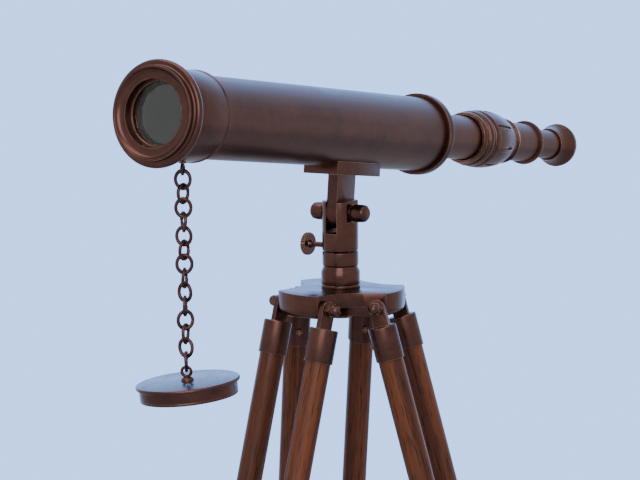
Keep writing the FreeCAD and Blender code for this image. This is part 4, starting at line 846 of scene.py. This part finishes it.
chain_low, chain_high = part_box("chain_upper_links")
odd_link = [vertex.co for vertex in NODES["chain_upper_links"].data.vertices
            if vertex.co.z > chain_high.z - TOP_LINK_DEPTH * MM]
chain_middle = (chain_low + chain_high) / 2
FLAT_TURN = max(range(180), key=lambda turn: max(
    (point - chain_middle).dot(Vector((math.cos(math.radians(turn)), math.sin(math.radians(turn)), 0)))
    for point in odd_link))
for half, first in (("upper", 0), ("lower", 1)):
    low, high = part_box("chain_" + half + "_links")
    pitch = (high.z - low.z - LINK_LENGTH * MM) / (LINKS_EACH_HALF - 1)
    half_length = (pitch + 2 * LINK_WIRE * MM) / 2
    links = []
    for index in range(LINKS_EACH_HALF):
        height = high.z - LINK_LENGTH * MM / 2 - pitch * index
        centre = Vector(((low.x + high.x) / 2, (low.y + high.y) / 2, height))
        turn = FLAT_TURN + LINK_TURNS[index] + 90 * first * (1 if index % 2 == 0 else -1)
        links.append(bend_link(centre, half_length, LINK_HALF_WIDTH * MM, turn, LINK_TWISTS[index]))
    bpy.ops.object.select_all(action="DESELECT")
    for link in links:
        link.select_set(True)
    bpy.context.view_layer.objects.active = links[0]
    bpy.ops.object.join()
    links[0].name = "chain_" + half + "_bent"
    bpy.ops.object.shade_smooth_by_angle(angle=math.radians(50))
    stand_in(links[0], copper_cast, "chain_" + half, "antique_copper", "chain_" + half + "_links")
print("chain flat turned", FLAT_TURN, "degrees")

# %% [markdown]
# ## Filed and cast parts
# Plates, forks and brackets aren't turned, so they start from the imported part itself. A copy of its mesh
# is merged, its flat faces are joined again, and a narrow bevel eases every edge sharper than a curve.

# %% Ease the edges of a copy
def eased_copy(node, width, body, finish, slot):
    bpy.ops.object.select_all(action="DESELECT")
    piece = NODES[node].copy()
    piece.data = NODES[node].data.copy()
    piece.name = node + "_eased"
    piece.parent = None
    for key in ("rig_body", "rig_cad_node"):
        if key in piece:
            del piece[key]
    bpy.context.scene.collection.objects.link(piece)
    piece.select_set(True)
    bpy.context.view_layer.objects.active = piece
    bpy.ops.object.mode_set(mode="EDIT")
    bpy.ops.mesh.select_all(action="SELECT")
    bpy.ops.mesh.remove_doubles(threshold=2e-6)
    bpy.ops.mesh.select_all(action="SELECT")
    bpy.ops.mesh.dissolve_limited(angle_limit=math.radians(1.0))
    bpy.ops.object.mode_set(mode="OBJECT")
    bevel = piece.modifiers.new("eased", "BEVEL")
    bevel.width = width * MM
    bevel.segments = 2
    bevel.limit_method = "ANGLE"
    bevel.angle_limit = math.radians(38)
    bevel.use_clamp_overlap = True
    bevel.harden_normals = False
    bpy.ops.object.modifier_apply(modifier="eased")
    bpy.ops.object.shade_smooth_by_angle(angle=math.radians(36))
    stand_in(piece, finish, body, slot, node)


eased_copy("head_plate", 0.5, "tripod_head", copper_plate, "antique_copper")
eased_copy("clevis", 0.35, "turret", copper_upright, "antique_copper")
eased_copy("saddle", 0.5, "telescope", copper_cast, "antique_copper")
for leg in LEGS:
    eased_copy(leg + "_hinge_ferrules", 0.4, leg, copper_cast, "antique_copper")
    eased_copy(leg + "_lower_bracket", 0.6, leg, copper_cast, "antique_copper")
    eased_copy(leg + "_guide_bracket", 0.5, leg + "_slide", copper_cast, "antique_copper")
